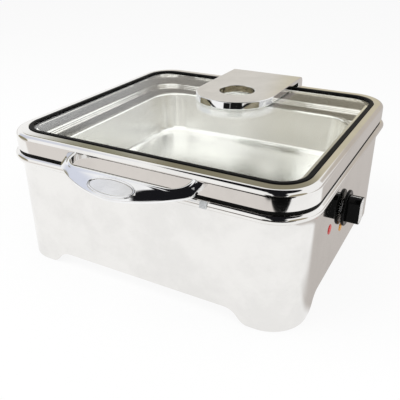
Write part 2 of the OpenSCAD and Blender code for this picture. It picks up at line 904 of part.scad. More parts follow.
module hinge_bracket() {
    color(steel) placed() difference() {
        union() {
            translate([-hinge_plate_w / 2, wall_y + fit_gap, hinge_plate_z]) {
                cube([hinge_plate_w, hinge_plate_t, hinge_plate_h]);
            }
            for (side = [-1, 1]) {
                translate([side * (cheek_x + cheek_t / 2), 0, 0]) along_x(cheek_t) cheek_outline();
            }
        }
        on_axis() cylinder(h = 3 * tongue_w, r = hinge_shaft_r + fit_gap / 4, center = true);
        hinge_screw_places() rotate([90, 0, 0]) translate([0, 0, -hinge_plate_t - 2]) {
            cylinder(h = hinge_plate_t + 4, r = hinge_screw_r + fit_gap);
        }
    }
}

module bracket_screws() {
    head_y = 2 * fit_gap + hinge_plate_t;
    color(zinc) placed() hinge_screw_places() translate([0, head_y, 0]) rotate([90, 0, 0]) {
        screw(hinge_screw_r, hinge_plate_t + wall_t + 6, 2 * hinge_screw_r, 2.2);
    }
}

module hinge_shaft() {
    len = 2 * (cheek_x + cheek_t + clip_t + 1.5);
    color(zinc) placed() on_axis() cylinder(h = len, r = hinge_shaft_r, center = true);
}

module shaft_clips() {
    color(zinc) placed() for (side = [0, 1]) {
        mirror([side, 0, 0]) translate([cheek_x + cheek_t + fit_gap, 0, 0]) on_axis() difference() {
            cylinder(h = clip_t, r = clip_r);
            translate([0, 0, -1]) cylinder(h = clip_t + 2, r = hinge_shaft_r + fit_gap / 4);
        }
    }
}

module hinge_damper() {
    len = tongue_w - 2 * bush_len - 6;
    color("dimgray") placed() on_axis() difference() {
        cylinder(h = len, r = bush_r - run_gap, center = true);
        cylinder(h = len + 2, r = hinge_shaft_r + fit_gap / 4, center = true);
    }
}

module hinge_bushes() {
    color("goldenrod") placed() for (side = [0, 1]) {
        mirror([side, 0, 0]) translate([tongue_w / 2 - bush_len, 0, 0]) on_axis() difference() {
            cylinder(h = bush_len, r = bush_r);
            translate([0, 0, -1]) cylinder(h = bush_len + 2, r = hinge_shaft_r + shaft_gap);
        }
    }
}

module tongue_section() {
    block_front = axis_y - knuckle_r;
    nose_front = nose_y - tongue_w / 2;
    round_z = tongue_top - tongue_back_r;
    translate([nose_front, tongue_z]) square([bridge_y - nose_front, tongue_top - tongue_z]);
    translate([bridge_y, bridge_z]) square([block_front - bridge_y, tongue_top - bridge_z]);
    translate([block_front, axis_z]) square([2 * knuckle_r, round_z - axis_z]);
    translate([block_front, round_z]) square([2 * knuckle_r - tongue_back_r, tongue_back_r]);
    translate([tongue_back - tongue_back_r, round_z]) intersection() {
        circle(tongue_back_r);
        square(tongue_back_r);
    }
    intersection() {
        translate([axis_y, axis_z]) circle(knuckle_r);
        translate([block_front, axis_z - knuckle_r]) square([2 * knuckle_r, knuckle_r]);
    }
}

module tongue_plan(half) {
    intersection() {
        translate([0, nose_y]) circle(half);
        translate([-half, nose_y - half]) square([2 * half, half]);
    }
    translate([-half, nose_y]) square([2 * half, tongue_back - nose_y + 1]);
}

module clamp_screw_places() {
    for (angle = [30, 150, 270]) {
        translate([clamp_pitch_r * cos(angle), hole_y + clamp_pitch_r * sin(angle), 0]) children();
    }
}

module clamp_screw_hole(depth) {
    clamp_screw_places() cylinder(h = depth, r = clamp_screw_r + fit_gap);
}

module hinge_tongue() {
    color(chrome) placed() difference() {
        intersection() {
            along_x(tongue_w) tongue_section();
            linear_extrude(2 * tongue_top) tongue_plan(tongue_w / 2);
        }
        translate([0, hole_y, tongue_z - 1]) cylinder(h = tongue_top, r = tongue_hole_r);
        on_axis() cylinder(h = 2 * tongue_w, r = bush_r + fit_gap / 4, center = true);
        translate([0, 0, tongue_z - 1]) clamp_screw_hole(clamp_bite + 1.5);
    }
}

module tongue_pad() {
    inset = 4;
    color(black) placed() translate([0, hole_y, glass_top]) difference() {
        cylinder(h = pad_t, r = tongue_w / 2 - inset - tongue_hole_back);
        translate([0, 0, -1]) cylinder(h = pad_t + 2, r = tongue_hole_r + inset);
        translate([0, -hole_y, -1]) clamp_screw_hole(pad_t + 2);
    }
}

module clamp_plate() {
    rim = 6;
    color(steel) placed() difference() {
        translate([0, hole_y, clamp_z]) cylinder(h = clamp_t, r = clamp_pitch_r + rim);
        translate([0, hole_y, clamp_z - 1]) cylinder(h = clamp_t + 2, r = clamp_pitch_r - rim);
        translate([0, 0, clamp_z - 1]) clamp_screw_hole(clamp_t + 2);
    }
}

module clamp_screws() {
    len = tongue_z + clamp_bite - clamp_z;
    color(zinc) placed() clamp_screw_places() translate([0, 0, clamp_z - fit_gap]) {
        screw(clamp_screw_r, len, clamp_head_r, clamp_head_t);
    }
}

// Lid

module lid_wall_profile() {
    translate([-lid_t, lid_z]) square([lid_t, lid_h - lid_edge_r]);
    translate([-lid_edge_r, lid_top - lid_edge_r]) quarter_band(lid_edge_r, lid_t);
}

// The step down from the steel band and the flange that carries the glass
module lid_seat_profile() {
    translate([0, seat_z]) square([lid_t, lid_top - lid_t - seat_z]);
    translate([-seat_w, seat_z - lid_t]) square([seat_w + lid_t, lid_t]);
}

module handle_screw_places() {
    for (side = [-1, 1]) {
        translate([side * arm_x, lid_front + lid_t, handle_screw_z]) rotate([90, 0, 0]) children();
    }
}

module lid_frame() {
    color(steel) placed() difference() {
        union() {
            around(lid_w, lid_d, lid_r) lid_wall_profile();
            around(open_w, open_d, open_r) lid_seat_profile();
            translate([0, 0, lid_top - lid_t]) difference() {
                rounded_plate(lid_w - 2 * lid_edge_r, lid_d - 2 * lid_edge_r, lid_r - lid_edge_r, lid_t);
                translate([0, 0, -1]) rounded_plate(open_w, open_d, open_r, lid_t + 2);
            }
        }
        handle_screw_places() translate([0, 0, -1]) cylinder(h = lid_t + 2, r = handle_screw_r + fit_gap);
    }
}

module lid_seal() {
    color(black) placed() around(lid_w, lid_d, lid_r) {
        translate([-lid_t - fit_gap - seal_w, rim_h + run_gap]) {
            square([seal_w, lid_gap + seal_up - run_gap]);
        }
    }
}

module glass_gasket() {
    gasket_top = lid_top + gasket_proud;
    color(black) placed() around(open_w, open_d, open_r) {
        translate([-fit_gap - gasket_leg, seat_z]) square([gasket_leg, gasket_top - seat_z]);
        translate([-fit_gap - gasket_w, glass_top]) square([gasket_w - gasket_leg, gasket_top - glass_top]);
    }
}

module glass_pane() {
    color([0.85, 0.92, 0.9, 0.35]) placed() difference() {
        translate([0, 0, glass_top - glass_t]) {
            rounded_plate(open_w - 2 * glass_in, open_d - 2 * glass_in, open_r - glass_in, glass_t);
        }
        translate([0, 0, glass_top - glass_t - 1]) clamp_screw_hole(glass_t + 2);
    }
}

// Handle

module handle_plan() {
    inner_half = root_half - arm_w;
    straight_half = inner_half - bow_inner_r;
    root_y = lid_front - fit_gap;
    corner_y = bow_front + bow_sag;
    difference() {
        intersection() {
            translate([0, bow_front + bow_r]) circle(bow_r);
            polygon([
                [-root_half, root_y], [-handle_half, corner_y], [-handle_half, bow_front],
                [handle_half, bow_front], [handle_half, corner_y], [root_half, root_y]
            ]);
        }
        translate([-inner_half, bow_back + bow_inner_r]) square([2 * inner_half, grip_gap]);
        translate([-straight_half, bow_back]) square([2 * straight_half, bow_inner_r]);
        for (side = [0, 1]) {
            mirror([side, 0]) translate([straight_half, bow_back + bow_inner_r]) intersection() {
                circle(bow_inner_r);
                translate([0, -bow_inner_r]) square(bow_inner_r);
            }
        }
    }
}

module handle_side() {
    slope = (arm_top_z - bow_top_z) / grip_gap;
    front = bow_front - 1;
    intersection() {
        polygon([
            [front, bow_edge_z - lip_h], [bow_back, bow_low_z], [lid_front, arm_low_z],
            [lid_front, arm_top_z], [front, arm_top_z - slope * (lid_front - front)]
        ]);
        union() {
            translate([crown_y, crown_z]) circle(crown_r);
            translate([bow_back + 1, bow_low_z - 1]) square([grip_gap, arm_top_z - bow_low_z + 2]);
        }
    }
}

// The badge's own plane lies on the crown, with +Z along the crown's normal
module on_crown() {
    translate([0, crown_y - crown_r * sin(badge_tilt), crown_z + crown_r * cos(badge_tilt)]) {
        rotate([badge_tilt, 0, 0]) children();
    }
}

module oval(len, w) {
    polygon([for (k = [0 : 59]) [len / 2 * cos(6 * k), w / 2 * sin(6 * k)]]);
}

// What the rounding takes off along the bow's front edge, turned about the bow's centre
module bow_edge_waste() {
    clear = 5;
    start = bow_r - edge_round_in + clear;
    low = arm_top_z - edge_round_fall - clear;
    translate([0, bow_front + bow_r, 0]) rotate_extrude() difference() {
        translate([start, low]) square([2 * edge_round_in, 2 * edge_round_r]);
        translate([bow_r - edge_round_in, edge_round_z]) circle(edge_round_r);
    }
}

module handle() {
    color(chrome) placed() difference() {
        intersection() {
            along_x(2 * root_half) handle_side();
            linear_extrude(2 * lid_top) handle_plan();
        }
        bow_edge_waste();
        on_crown() translate([0, 0, -badge_sunk - fit_gap]) {
            linear_extrude(badge_t + 5) oval(badge_len + 2 * fit_gap, badge_w + 2 * fit_gap);
        }
        handle_screw_places() translate([0, 0, lid_t]) {
            cylinder(h = handle_screw_len, r = handle_screw_r + fit_gap);
        }
    }
}

module handle_badge() {
    color(satin) placed() on_crown() translate([0, 0, -badge_sunk]) {
        linear_extrude(badge_t) oval(badge_len, badge_w);
    }
}

module handle_screws() {
    color(zinc) placed() handle_screw_places() translate([0, 0, -fit_gap]) {
        screw(handle_screw_r, handle_screw_len, screw_head_r, screw_head_t);
    }
}

housing();
water_pan();
corner_brackets();
foot_pads();
foot_screws();
bottom_cover();
insulation_mat();
heating_plate();
heating_element();
element_clamp();
clamp_nuts();
thermal_cutout();
thermostat_body();
thermostat_nut();
sensor_bulb();
red_lens();
amber_lens();
lamp_bodies();
lamp_nuts();
terminal_block();
cable_gland();
gland_nut();
hinge_bracket();
bracket_screws();
hinge_shaft();
shaft_clips();
hinge_damper();
food_pan();
lid_frame();
lid_seal();
glass_gasket();
glass_pane();
handle();
handle_badge();
handle_screws();
hinge_tongue();
tongue_pad();
clamp_plate();
clamp_screws();
hinge_bushes();
knob();
knob_cap();
knob_pointer();
thermostat_shaft();
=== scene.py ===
"""Looks of an electric chafing dish: polished steel, a damped glass lid, a knob and two pilot lamps.

Pieces are modelled in millimetres about the middle of the body and then placed in the row frame in metres.
"""
from __future__ import annotations

import json
import logging
import math
from dataclasses import dataclass
from enum import Enum
from typing import Callable, Iterable

import bmesh
import bpy
from mathutils import Matrix, Vector

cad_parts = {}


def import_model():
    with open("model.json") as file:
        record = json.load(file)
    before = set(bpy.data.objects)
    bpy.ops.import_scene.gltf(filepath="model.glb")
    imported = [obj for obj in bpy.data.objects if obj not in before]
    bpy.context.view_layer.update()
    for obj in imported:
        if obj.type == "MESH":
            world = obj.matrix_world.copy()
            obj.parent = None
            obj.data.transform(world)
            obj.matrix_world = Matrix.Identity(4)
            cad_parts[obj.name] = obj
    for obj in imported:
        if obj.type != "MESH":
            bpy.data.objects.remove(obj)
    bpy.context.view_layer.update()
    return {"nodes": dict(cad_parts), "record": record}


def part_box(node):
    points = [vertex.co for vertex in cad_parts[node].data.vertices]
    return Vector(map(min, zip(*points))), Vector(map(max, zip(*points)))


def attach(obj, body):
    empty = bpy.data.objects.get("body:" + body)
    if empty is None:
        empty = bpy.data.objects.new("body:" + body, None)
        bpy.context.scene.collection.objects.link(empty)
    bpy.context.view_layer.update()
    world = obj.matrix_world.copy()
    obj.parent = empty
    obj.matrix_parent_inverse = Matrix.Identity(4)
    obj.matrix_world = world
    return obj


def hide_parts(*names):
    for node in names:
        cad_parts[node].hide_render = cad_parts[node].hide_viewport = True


Mesh = bmesh.types.BMesh
Vert = bmesh.types.BMVert
Edge = bmesh.types.BMEdge
Face = bmesh.types.BMFace
Tree = bpy.types.NodeTree
Node = bpy.types.Node
Outputs = bpy.types.NodeOutputs
Socket = bpy.types.NodeSocket
Material = bpy.types.Material
Point = tuple[float, float]
Triple = tuple[float, float, float]
Colour = tuple[float, float, float]
Opaque = tuple[float, float, float, float]
Inputs = dict[str | int, object]

LOG = logging.getLogger("chafing_dish")
MM = 0.001
WELD = 0.004
SLACK = 0.01
ROUND_STEPS = 96
SHARP_ANGLE = math.radians(32)
FLUSH_ANGLE = 0.001
STAIN_EDGES: Point = (0.38, 0.66)
WHITE: Opaque = (1.0, 1.0, 1.0, 1.0)


class Body(Enum):
    """The rigid bodies of the part."""

    BASE = "base"
    LID = "lid"
    KNOB = "knob"
    FOOD_PAN = "food_pan"


# Shaping tools


@dataclass(frozen=True)
class Plan:
    """A rounded rectangle about the body's middle, in millimetres."""

    width: float
    depth: float
    radius: float

    def inset(self, by: float) -> Plan:
        """Give the rectangle whose outline lies that far inside this one."""
        return Plan(self.width - 2 * by, self.depth - 2 * by, self.radius - by)

    def corner(self) -> Point:
        """Give the centre of the rear right corner's rounding."""
        return self.width / 2 - self.radius, self.depth / 2 - self.radius


LID_PLAN = Plan(420.0, 395.0, 51.0)


def arc(centre: Point, radius: float, start: float, end: float, steps: int) -> list[Point]:
    """List points on a circle.

    Args:
        centre: The circle's centre.
        radius: Its radius.
        start: The first angle in degrees.
        end: The last angle in degrees.
        steps: The number of chords.

    Returns:
        The points from start to end, both included.
    """
    turn = math.radians(end - start) / steps
    first = math.radians(start)
    return [
        (centre[0] + radius * math.cos(first + turn * k), centre[1] + radius * math.sin(first + turn * k))
        for k in range(steps + 1)
    ]


def point_along(path: list[Point], share: float) -> Point:
    """Give the point at a share of a path's length.

    Args:
        path: The path's points in order.
        share: The share of its length, from 0 to 1.

    Returns:
        The point on the path.
    """
    left = share * sum(math.dist(one, two) for one, two in zip(path, path[1:]))
    for one, two in zip(path, path[1:]):
        length = math.dist(one, two)
        if left <= length:
            part = left / length
            return one[0] + (two[0] - one[0]) * part, one[1] + (two[1] - one[1]) * part
        left -= length
    return path[-1]


def whole_run(run: float) -> list[float]:
    """Give the one station of a plain straight run, its end."""
    return [run]


def carry_round(
    bm: Mesh,
    profile: list[Point],
    plan: Plan,
    closed: bool = True,
    stations: Callable[[float], list[float]] = whole_run,
    corner_steps: int = 14,
) -> None:
    """Carry a profile round a rounded rectangle.

    Args:
        bm: The mesh to add to.
        profile: Points of outward distance and height.
        plan: The path in plan.
        closed: Whether the profile's last point joins its first.
        stations: Gives the distances along a straight run at which a row of points stands.
        corner_steps: The number of rows in each round corner.
    """
    corner_x, corner_y = plan.corner()
    verts = [bm.verts.new((plan.width / 2 + out, -corner_y, height)) for out, height in profile]
    pairs = list(zip(verts, verts[1:] + verts[:1]))
    edges = [bm.edges.new(pair) for pair in (pairs if closed else pairs[:-1])]
    for side, (sign_x, sign_y) in enumerate(((1, 1), (-1, 1), (-1, -1), (1, -1))):
        along = Matrix.Rotation(side * math.pi / 2, 3, "Z") @ Vector((0, 1, 0))
        run = (plan.depth if side % 2 == 0 else plan.width) - 2 * plan.radius
        done = 0.0
        for station in stations(run):
            made = bmesh.ops.extrude_edge_only(bm, edges=edges)["geom"]
            moved = {item for item in made if isinstance(item, Vert)}
            edges = [item for item in made if isinstance(item, Edge) and moved.issuperset(item.verts)]
            bmesh.ops.translate(bm, verts=list(moved), vec=along * (station - done))
            done = station
        swept = bmesh.ops.spin(
            bm,
            geom=edges + list(dict.fromkeys(vert for edge in edges for vert in edge.verts)),
            cent=(sign_x * corner_x, sign_y * corner_y, 0),
            axis=(0, 0, 1),
            angle=math.pi / 2,
            steps=corner_steps,
            use_merge=False,
        )
        edges = [item for item in swept["geom_last"] if isinstance(item, Edge)]
    bmesh.ops.remove_doubles(bm, verts=bm.verts[:], dist=WELD)


def face_out(bm: Mesh) -> None:
    """Turn every face of a mesh outwards."""
    bmesh.ops.recalc_face_normals(bm, faces=bm.faces[:])


def draw_out(bm: Mesh, faces: list[Face], by: float) -> None:
    """Draw some level faces up into a solid, or down by a negative distance."""
    made = bmesh.ops.extrude_face_region(bm, geom=faces)["geom"]
    bmesh.ops.translate(bm, verts=[item for item in made if isinstance(item, Vert)], vec=(0, 0, by))


def level_at(edge: Edge, height: float) -> bool:
    """Tell whether both ends of an edge lie at a height."""
    return all(abs(vert.co.z - height) < SLACK for vert in edge.verts)


def boundary_at(bm: Mesh, height: float) -> list[Edge]:
    """List the open edges that lie at a height."""
    return [edge for edge in bm.edges if edge.is_boundary and level_at(edge, height)]


def sharp_edges(bm: Mesh, least: float = 35.0) -> list[Edge]:
    """List the edges whose two faces meet at more than an angle in degrees."""
    limit = math.radians(least)
    return [edge for edge in bm.edges if len(edge.link_faces) == 2 and edge.calc_face_angle() > limit]


def sharp_above(bm: Mesh, height: float, wholly: bool = False) -> list[Edge]:
    """List the sharp edges that reach above a height, or that lie wholly above it."""
    end = min if wholly else max
    return [edge for edge in sharp_edges(bm) if end(vert.co.z for vert in edge.verts) > height]


def round_edges(bm: Mesh, edges: Iterable[Edge], radius: float, steps: int = 4) -> None:
    """Round some edges of a mesh.

    Args:
        bm: The mesh.
        edges: The edges to round.
        radius: The radius in millimetres.
        steps: The number of chords in each rounding.
    """
    bmesh.ops.bevel(
        bm,
        geom=list(edges),
        offset=radius,
        offset_type="OFFSET",
        segments=steps,
        profile=0.5,
        affect="EDGES",
        clamp_overlap=True,
        face_strength_mode="ALL",
        material=-1,
    )


def turned(bm: Mesh, profile: list[Point], steps: int) -> None:
    """Turn a profile about the Z axis.

    Args:
        bm: The mesh to add to.
        profile: Points of radius and height, from axis to axis or closed on itself.
        steps: The number of rows round the axis.
    """
    verts = [bm.verts.new((radius, 0, height)) for radius, height in profile]
    edges = [bm.edges.new(pair) for pair in zip(verts, verts[1:])]
    bmesh.ops.spin(bm, geom=verts + edges, axis=(0, 0, 1), angle=2 * math.pi, steps=steps, use_merge=True)
    bmesh.ops.remove_doubles(bm, verts=bm.verts[:], dist=WELD)


def put_in_scene(name: str, data: bpy.types.ID) -> bpy.types.Object:
    """Make an object and link it to the scene.

    Args:
        name: The object's name.
        data: Its mesh, lamp or camera.

    Returns:
        The new object.
    """
    made = bpy.data.objects.new(name, data)
    bpy.context.scene.collection.objects.link(made)
    return made


@dataclass
class Workshop:
    """Dresses finished meshes and turns them into pieces in the row frame."""

    centre: Vector
    finishes: dict[str, Material]

    def piece(
        self,
        name: str,
        bm: Mesh,
        body: Body,
        finish: str,
        nodes: tuple[str, ...],
        slot: str = "",
        place: Matrix = Matrix.Identity(4),
    ) -> None:
        """Place a mesh, dress it and let it ride.

        Args:
            name: The piece's name.
            bm: Its mesh in millimetres, freed here.
            body: The body that it rides on.
            finish: The name of its finish.
            nodes: The solids that it stands for.
            slot: The record's material slot, where its name isn't the finish's; not used.
            place: A move within the body, in millimetres.
        """
        bm.transform(Matrix.Translation(self.centre) @ Matrix.Scale(MM, 4) @ place)
        face_out(bm)
        mesh = bpy.data.meshes.new(name)
        bm.to_mesh(mesh)
        bm.free()
        mesh.shade_smooth()
        mesh.set_sharp_from_angle(angle=SHARP_ANGLE)
        mesh.materials.append(self.finishes[finish])
        piece = put_in_scene(name, mesh)
        weighted = piece.modifiers.new("flat faces stay flat", "WEIGHTED_NORMAL")
        weighted.keep_sharp = True
        weighted.weight = 80
        weighted.use_face_influence = True
        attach(piece, body.value)
        if nodes:
            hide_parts(*nodes)
        LOG.info("%s: %d faces on %s", name, len(mesh.polygons), body.value)


# Finishes


def feed(tree: Tree, node: Node, inputs: Inputs) -> None:
    """Give a node's inputs a link or a plain value each.

    Args:
        tree: The node's tree.
        node: The node.
        inputs: A socket or a value by each input's name or number.
    """
    for key, value in inputs.items():
        if isinstance(value, Socket):
            tree.links.new(value, node.inputs[key])
        else:
            node.inputs[key].default_value = value


def add_node(tree: Tree, kind: str, inputs: Inputs | None = None, **settings: object) -> Outputs:
    """Add a shader node.

    Args:
        tree: The node tree.
        kind: The node's type without its prefix.
        inputs: A socket or a value by each input's name or number.
        settings: The node's own settings.

    Returns:
        The node's outputs.
    """
    node = tree.nodes.new("ShaderNode" + kind)
    for name, value in settings.items():
        setattr(node, name, value)
    feed(tree, node, inputs or {})
    return node.outputs


def reckon(tree: Tree, operation: str, *terms: Socket | float) -> Socket:
    """Add a math node whose inputs take sockets or numbers in order, and give its result."""
    return add_node(tree, "Math", dict(enumerate(terms)), operation=operation)["Value"]


def away_from(tree: Tree, where: Socket, spot: Triple) -> Socket:
    """Add a node that measures how far a place is from a fixed spot."""
    return add_node(tree, "VectorMath", {0: where, 1: spot}, operation="DISTANCE")["Value"]


def soft_step(tree: Tree, value: Socket, start: float, end: float) -> Socket:
    """Add a smooth step.

    Args:
        tree: The node tree.
        value: What is stepped.
        start: The value that gives 0.
        end: The value that gives 1.

    Returns:
        The step's result.
    """
    inputs = {"Value": value, "From Min": start, "From Max": end}
    return add_node(tree, "MapRange", inputs, interpolation_type="SMOOTHSTEP")["Result"]


def tinted(tree: Tree, under: Socket | Opaque, share: Socket, colour: Colour) -> Socket:
    """Lay a colour over another one.

    Args:
        tree: The node tree.
        under: The colour below.
        share: How much of the new colour shows.
        colour: The new colour.

    Returns:
        The mixed colour.
    """
    inputs = {"A": under, "B": (*colour, 1.0), "Factor": share}
    return add_node(tree, "Mix", inputs, data_type="RGBA")["Result"]


def mixed(tree: Tree, under: Socket, share: Socket, over: Socket) -> Socket:
    """Mix two shaders by the share of the second one."""
    return add_node(tree, "MixShader", {0: share, 1: under, 2: over})["Shader"]


def leaving_pan(tree: Tree, path: Outputs) -> Socket:
    """Tell the rays that came in through the glass and were mirrored below it.

    Args:
        tree: The node tree.
        path: The outputs of its Light Path node.

    Returns:
        1 for such a ray and 0 for any other.
    """
    passed = reckon(tree, "SUBTRACT", path["Transmission Depth"], 1.0)
    leaving = reckon(tree, "MINIMUM", path["Glossy Depth"], reckon(tree, "MAXIMUM", passed, 0.0))
    return reckon(tree, "MINIMUM", leaving, 1.0)


def new_material(name: str) -> Material:
    """Start a material with nodes.

    Args:
        name: The material's name.

    Returns:
        The new material.
    """
    material = bpy.data.materials.new(name)
    material.use_nodes = True
    return material


def surface_group() -> Tree:
    """Build the group that gives a worked surface its smudges and its drawn or brushed grain.

    Returns:
        The shader group with the outputs Roughness, Height and Stain.
    """
    group = bpy.data.node_groups.new("worked surface", "ShaderNodeTree")
    for name in ("Roughness", "Smudge", "Smudge Scale", "Grain"):
        group.interface.new_socket(name=name, in_out="INPUT", socket_type="NodeSocketFloat")
    group.interface.new_socket(name="Grain Scale", in_out="INPUT", socket_type="NodeSocketVector")
    for name in ("Roughness", "Height", "Stain"):
        group.interface.new_socket(name=name, in_out="OUTPUT", socket_type="NodeSocketFloat")
    entry = group.nodes.new("NodeGroupInput").outputs
    where = add_node(group, "TexCoord")["Object"]
    blotches = {"Vector": where, "Scale": entry["Smudge Scale"], "Detail": 4.0, "Roughness": 0.62}
    smudge = add_node(group, "TexNoise", blotches)["Fac"]
    stretch = {0: where, 1: entry["Grain Scale"]}
    drawn = add_node(group, "VectorMath", stretch, operation="MULTIPLY")["Vector"]
    grain = add_node(group, "TexNoise", {"Vector": drawn, "Scale": 1.0, "Detail": 3.0})["Fac"]
    total = entry["Roughness"]
    for noise, amount in ((smudge, "Smudge"), (grain, "Grain")):
        terms = {0: reckon(group, "SUBTRACT", noise, 0.5), 1: entry[amount], 2: total}
        total = add_node(group, "Math", terms, operation="MULTIPLY_ADD", use_clamp=True)["Value"]
    stain = soft_step(group, smudge, *STAIN_EDGES)
    feed(group, group.nodes.new("NodeGroupOutput"), {"Roughness": total, "Height": grain, "Stain": stain})
    return group


def even(scale: float) -> Triple:
    """Give a grain that is as fine in every direction."""
    return scale, scale, scale


@dataclass(frozen=True)
class Finish:
    """How a surface looks: its colour, gloss and worked texture."""

    name: str
    colour: Colour
    metallic: float
    roughness: float
    smudge: float
    smudge_scale: float
    grain: float
    grain_scale: Triple
    bump: float
    coat: float = 0.0
    transmission: float = 0.0
    glow: float = 0.0
    shine: float = 0.5
    stain: float = 0.07
    coat_roughness: float = 0.04
    bump_depth: float = 0.0004

    def make(self, group: Tree) -> Material:
        """Make the material.

        Args:
            group: The worked-surface group.

        Returns:
            The material with its nodes.
        """
        material = new_material(self.name)
        tree = material.node_tree
        texture = {
            "Roughness": self.roughness,
            "Smudge": self.smudge,
            "Smudge Scale": self.smudge_scale,
            "Grain": self.grain,
            "Grain Scale": self.grain_scale,
        }
        worked = add_node(tree, "Group", texture, node_tree=group)
        stained = tuple(part * (1 - self.stain) for part in self.colour)
        bump = {"Strength": self.bump, "Distance": self.bump_depth, "Height": worked["Height"]}
        surface = {
            "Base Color": tinted(tree, (*self.colour, 1.0), worked["Stain"], stained),
            "Metallic": self.metallic,
            "Roughness": worked["Roughness"],
            "Normal": add_node(tree, "Bump", bump)["Normal"],
            "Specular IOR Level": self.shine,
            "Coat Weight": self.coat,
            "Coat Roughness": self.coat_roughness,
            "Transmission Weight": self.transmission,
            "Emission Color": (*self.colour, 1.0),
            "Emission Strength": self.glow,
        }
        feed(tree, tree.nodes["Principled BSDF"], surface)
        return material


@dataclass(frozen=True)
class GlassFinish:
    """Clear flat glass that lets light through to the pan."""

    name: str = "clear glass"
    tint: Colour = (0.985, 0.995, 0.988)
    bend: float = 1.5

    def make(self) -> Material:
        """Make the glass, which casts no hard shadow and lets out what the pan mirrors.

        Returns:
            The material with its nodes.
        """
        material = new_material(self.name)
        tree = material.node_tree
        colour = (*self.tint, 1.0)
        shader = tree.nodes["Principled BSDF"]
        clarity = {"Base Color": colour, "Roughness": 0.0, "IOR": self.bend, "Transmission Weight": 1.0}
        feed(tree, shader, clarity)
        path = add_node(tree, "LightPath")
        passing = reckon(tree, "MAXIMUM", path["Is Shadow Ray"], path["Is Diffuse Ray"])
        passing = reckon(tree, "MAXIMUM", passing, leaving_pan(tree, path))
        clear = add_node(tree, "BsdfTransparent", {"Color": colour})["BSDF"]
        surface = mixed(tree, shader.outputs["BSDF"], passing, clear)
        feed(tree, tree.nodes["Material Output"], {"Surface": surface})
        return material


FINISHES = (
    Finish("polished_steel", (0.87, 0.858, 0.838), 1.0, 0.055, 0.04, 14.0, 0.02, even(60.0), 0.004),
    Finish("satin_steel", (0.965, 0.96, 0.94), 1.0, 0.24, 0.05, 10.0, 0.06, (25.0, 900.0, 200.0), 0.006),
    Finish("badge_steel", (0.92, 0.91, 0.88), 1.0, 0.16, 0.04, 40.0, 0.06, (60.0, 900.0, 300.0), 0.015),
    Finish("knob_face", (0.93, 0.93, 0.92), 0.45, 0.34, 0.05, 40.0, 0.08, (300.0, 900.0, 300.0), 0.02),
    Finish("chromed_casting", (0.90, 0.90, 0.90), 1.0, 0.035, 0.02, 24.0, 0.01, even(70.0), 0.003),
    Finish(
        "black_rubber", (0.006, 0.006, 0.006), 0.0, 0.50, 0.10, 60.0, 0.10, even(1500.0), 0.10, shine=0.08
    ),
    Finish(
        "black_plastic", (0.002, 0.002, 0.002), 0.0, 0.12, 0.06, 40.0, 0.04, even(900.0), 0.03, shine=0.08
    ),
    Finish("pale_rubber", (0.66, 0.68, 0.69), 0.0, 0.34, 0.08, 90.0, 0.06, even(900.0), 0.04, shine=0.6),
    Finish("white_plastic", (0.80, 0.79, 0.76), 0.0, 0.42, 0.06, 30.0, 0.05, even(800.0), 0.04),
    Finish("red_lens", (0.62, 0.02, 0.02), 0.0, 0.16, 0.03, 50.0, 0.02, even(500.0), 0.02, 0.4, 0.25, 0.15),
    Finish("amber_lens", (0.80, 0.42, 0.06), 0.0, 0.16, 0.03, 50.0, 0.02, even(500.0), 0.02, 0.4, 0.25, 0.12),
    Finish("zinc_steel", (0.62, 0.63, 0.64), 1.0, 0.32, 0.14, 40.0, 0.08, even(400.0), 0.05),
    Finish("aluminium", (0.80, 0.80, 0.80), 1.0, 0.24, 0.06, 30.0, 0.10, even(700.0), 0.05),
    Finish("dark_steel", (0.16, 0.16, 0.165), 0.9, 0.42, 0.12, 30.0, 0.08, even(300.0), 0.06),
    Finish("copper", (0.80, 0.45, 0.28), 1.0, 0.30, 0.12, 40.0, 0.05, even(400.0), 0.04),
    Finish("bronze", (0.68, 0.48, 0.22), 1.0, 0.34, 0.12, 40.0, 0.05, even(400.0), 0.04),
    Finish("mat", (0.70, 0.64, 0.50), 0.0, 0.90, 0.10, 90.0, 0.20, even(900.0), 0.60),
    Finish("paint", (0.88, 0.88, 0.86), 0.0, 0.40, 0.05, 60.0, 0.04, even(800.0), 0.05),
)


# Sub-assemblies


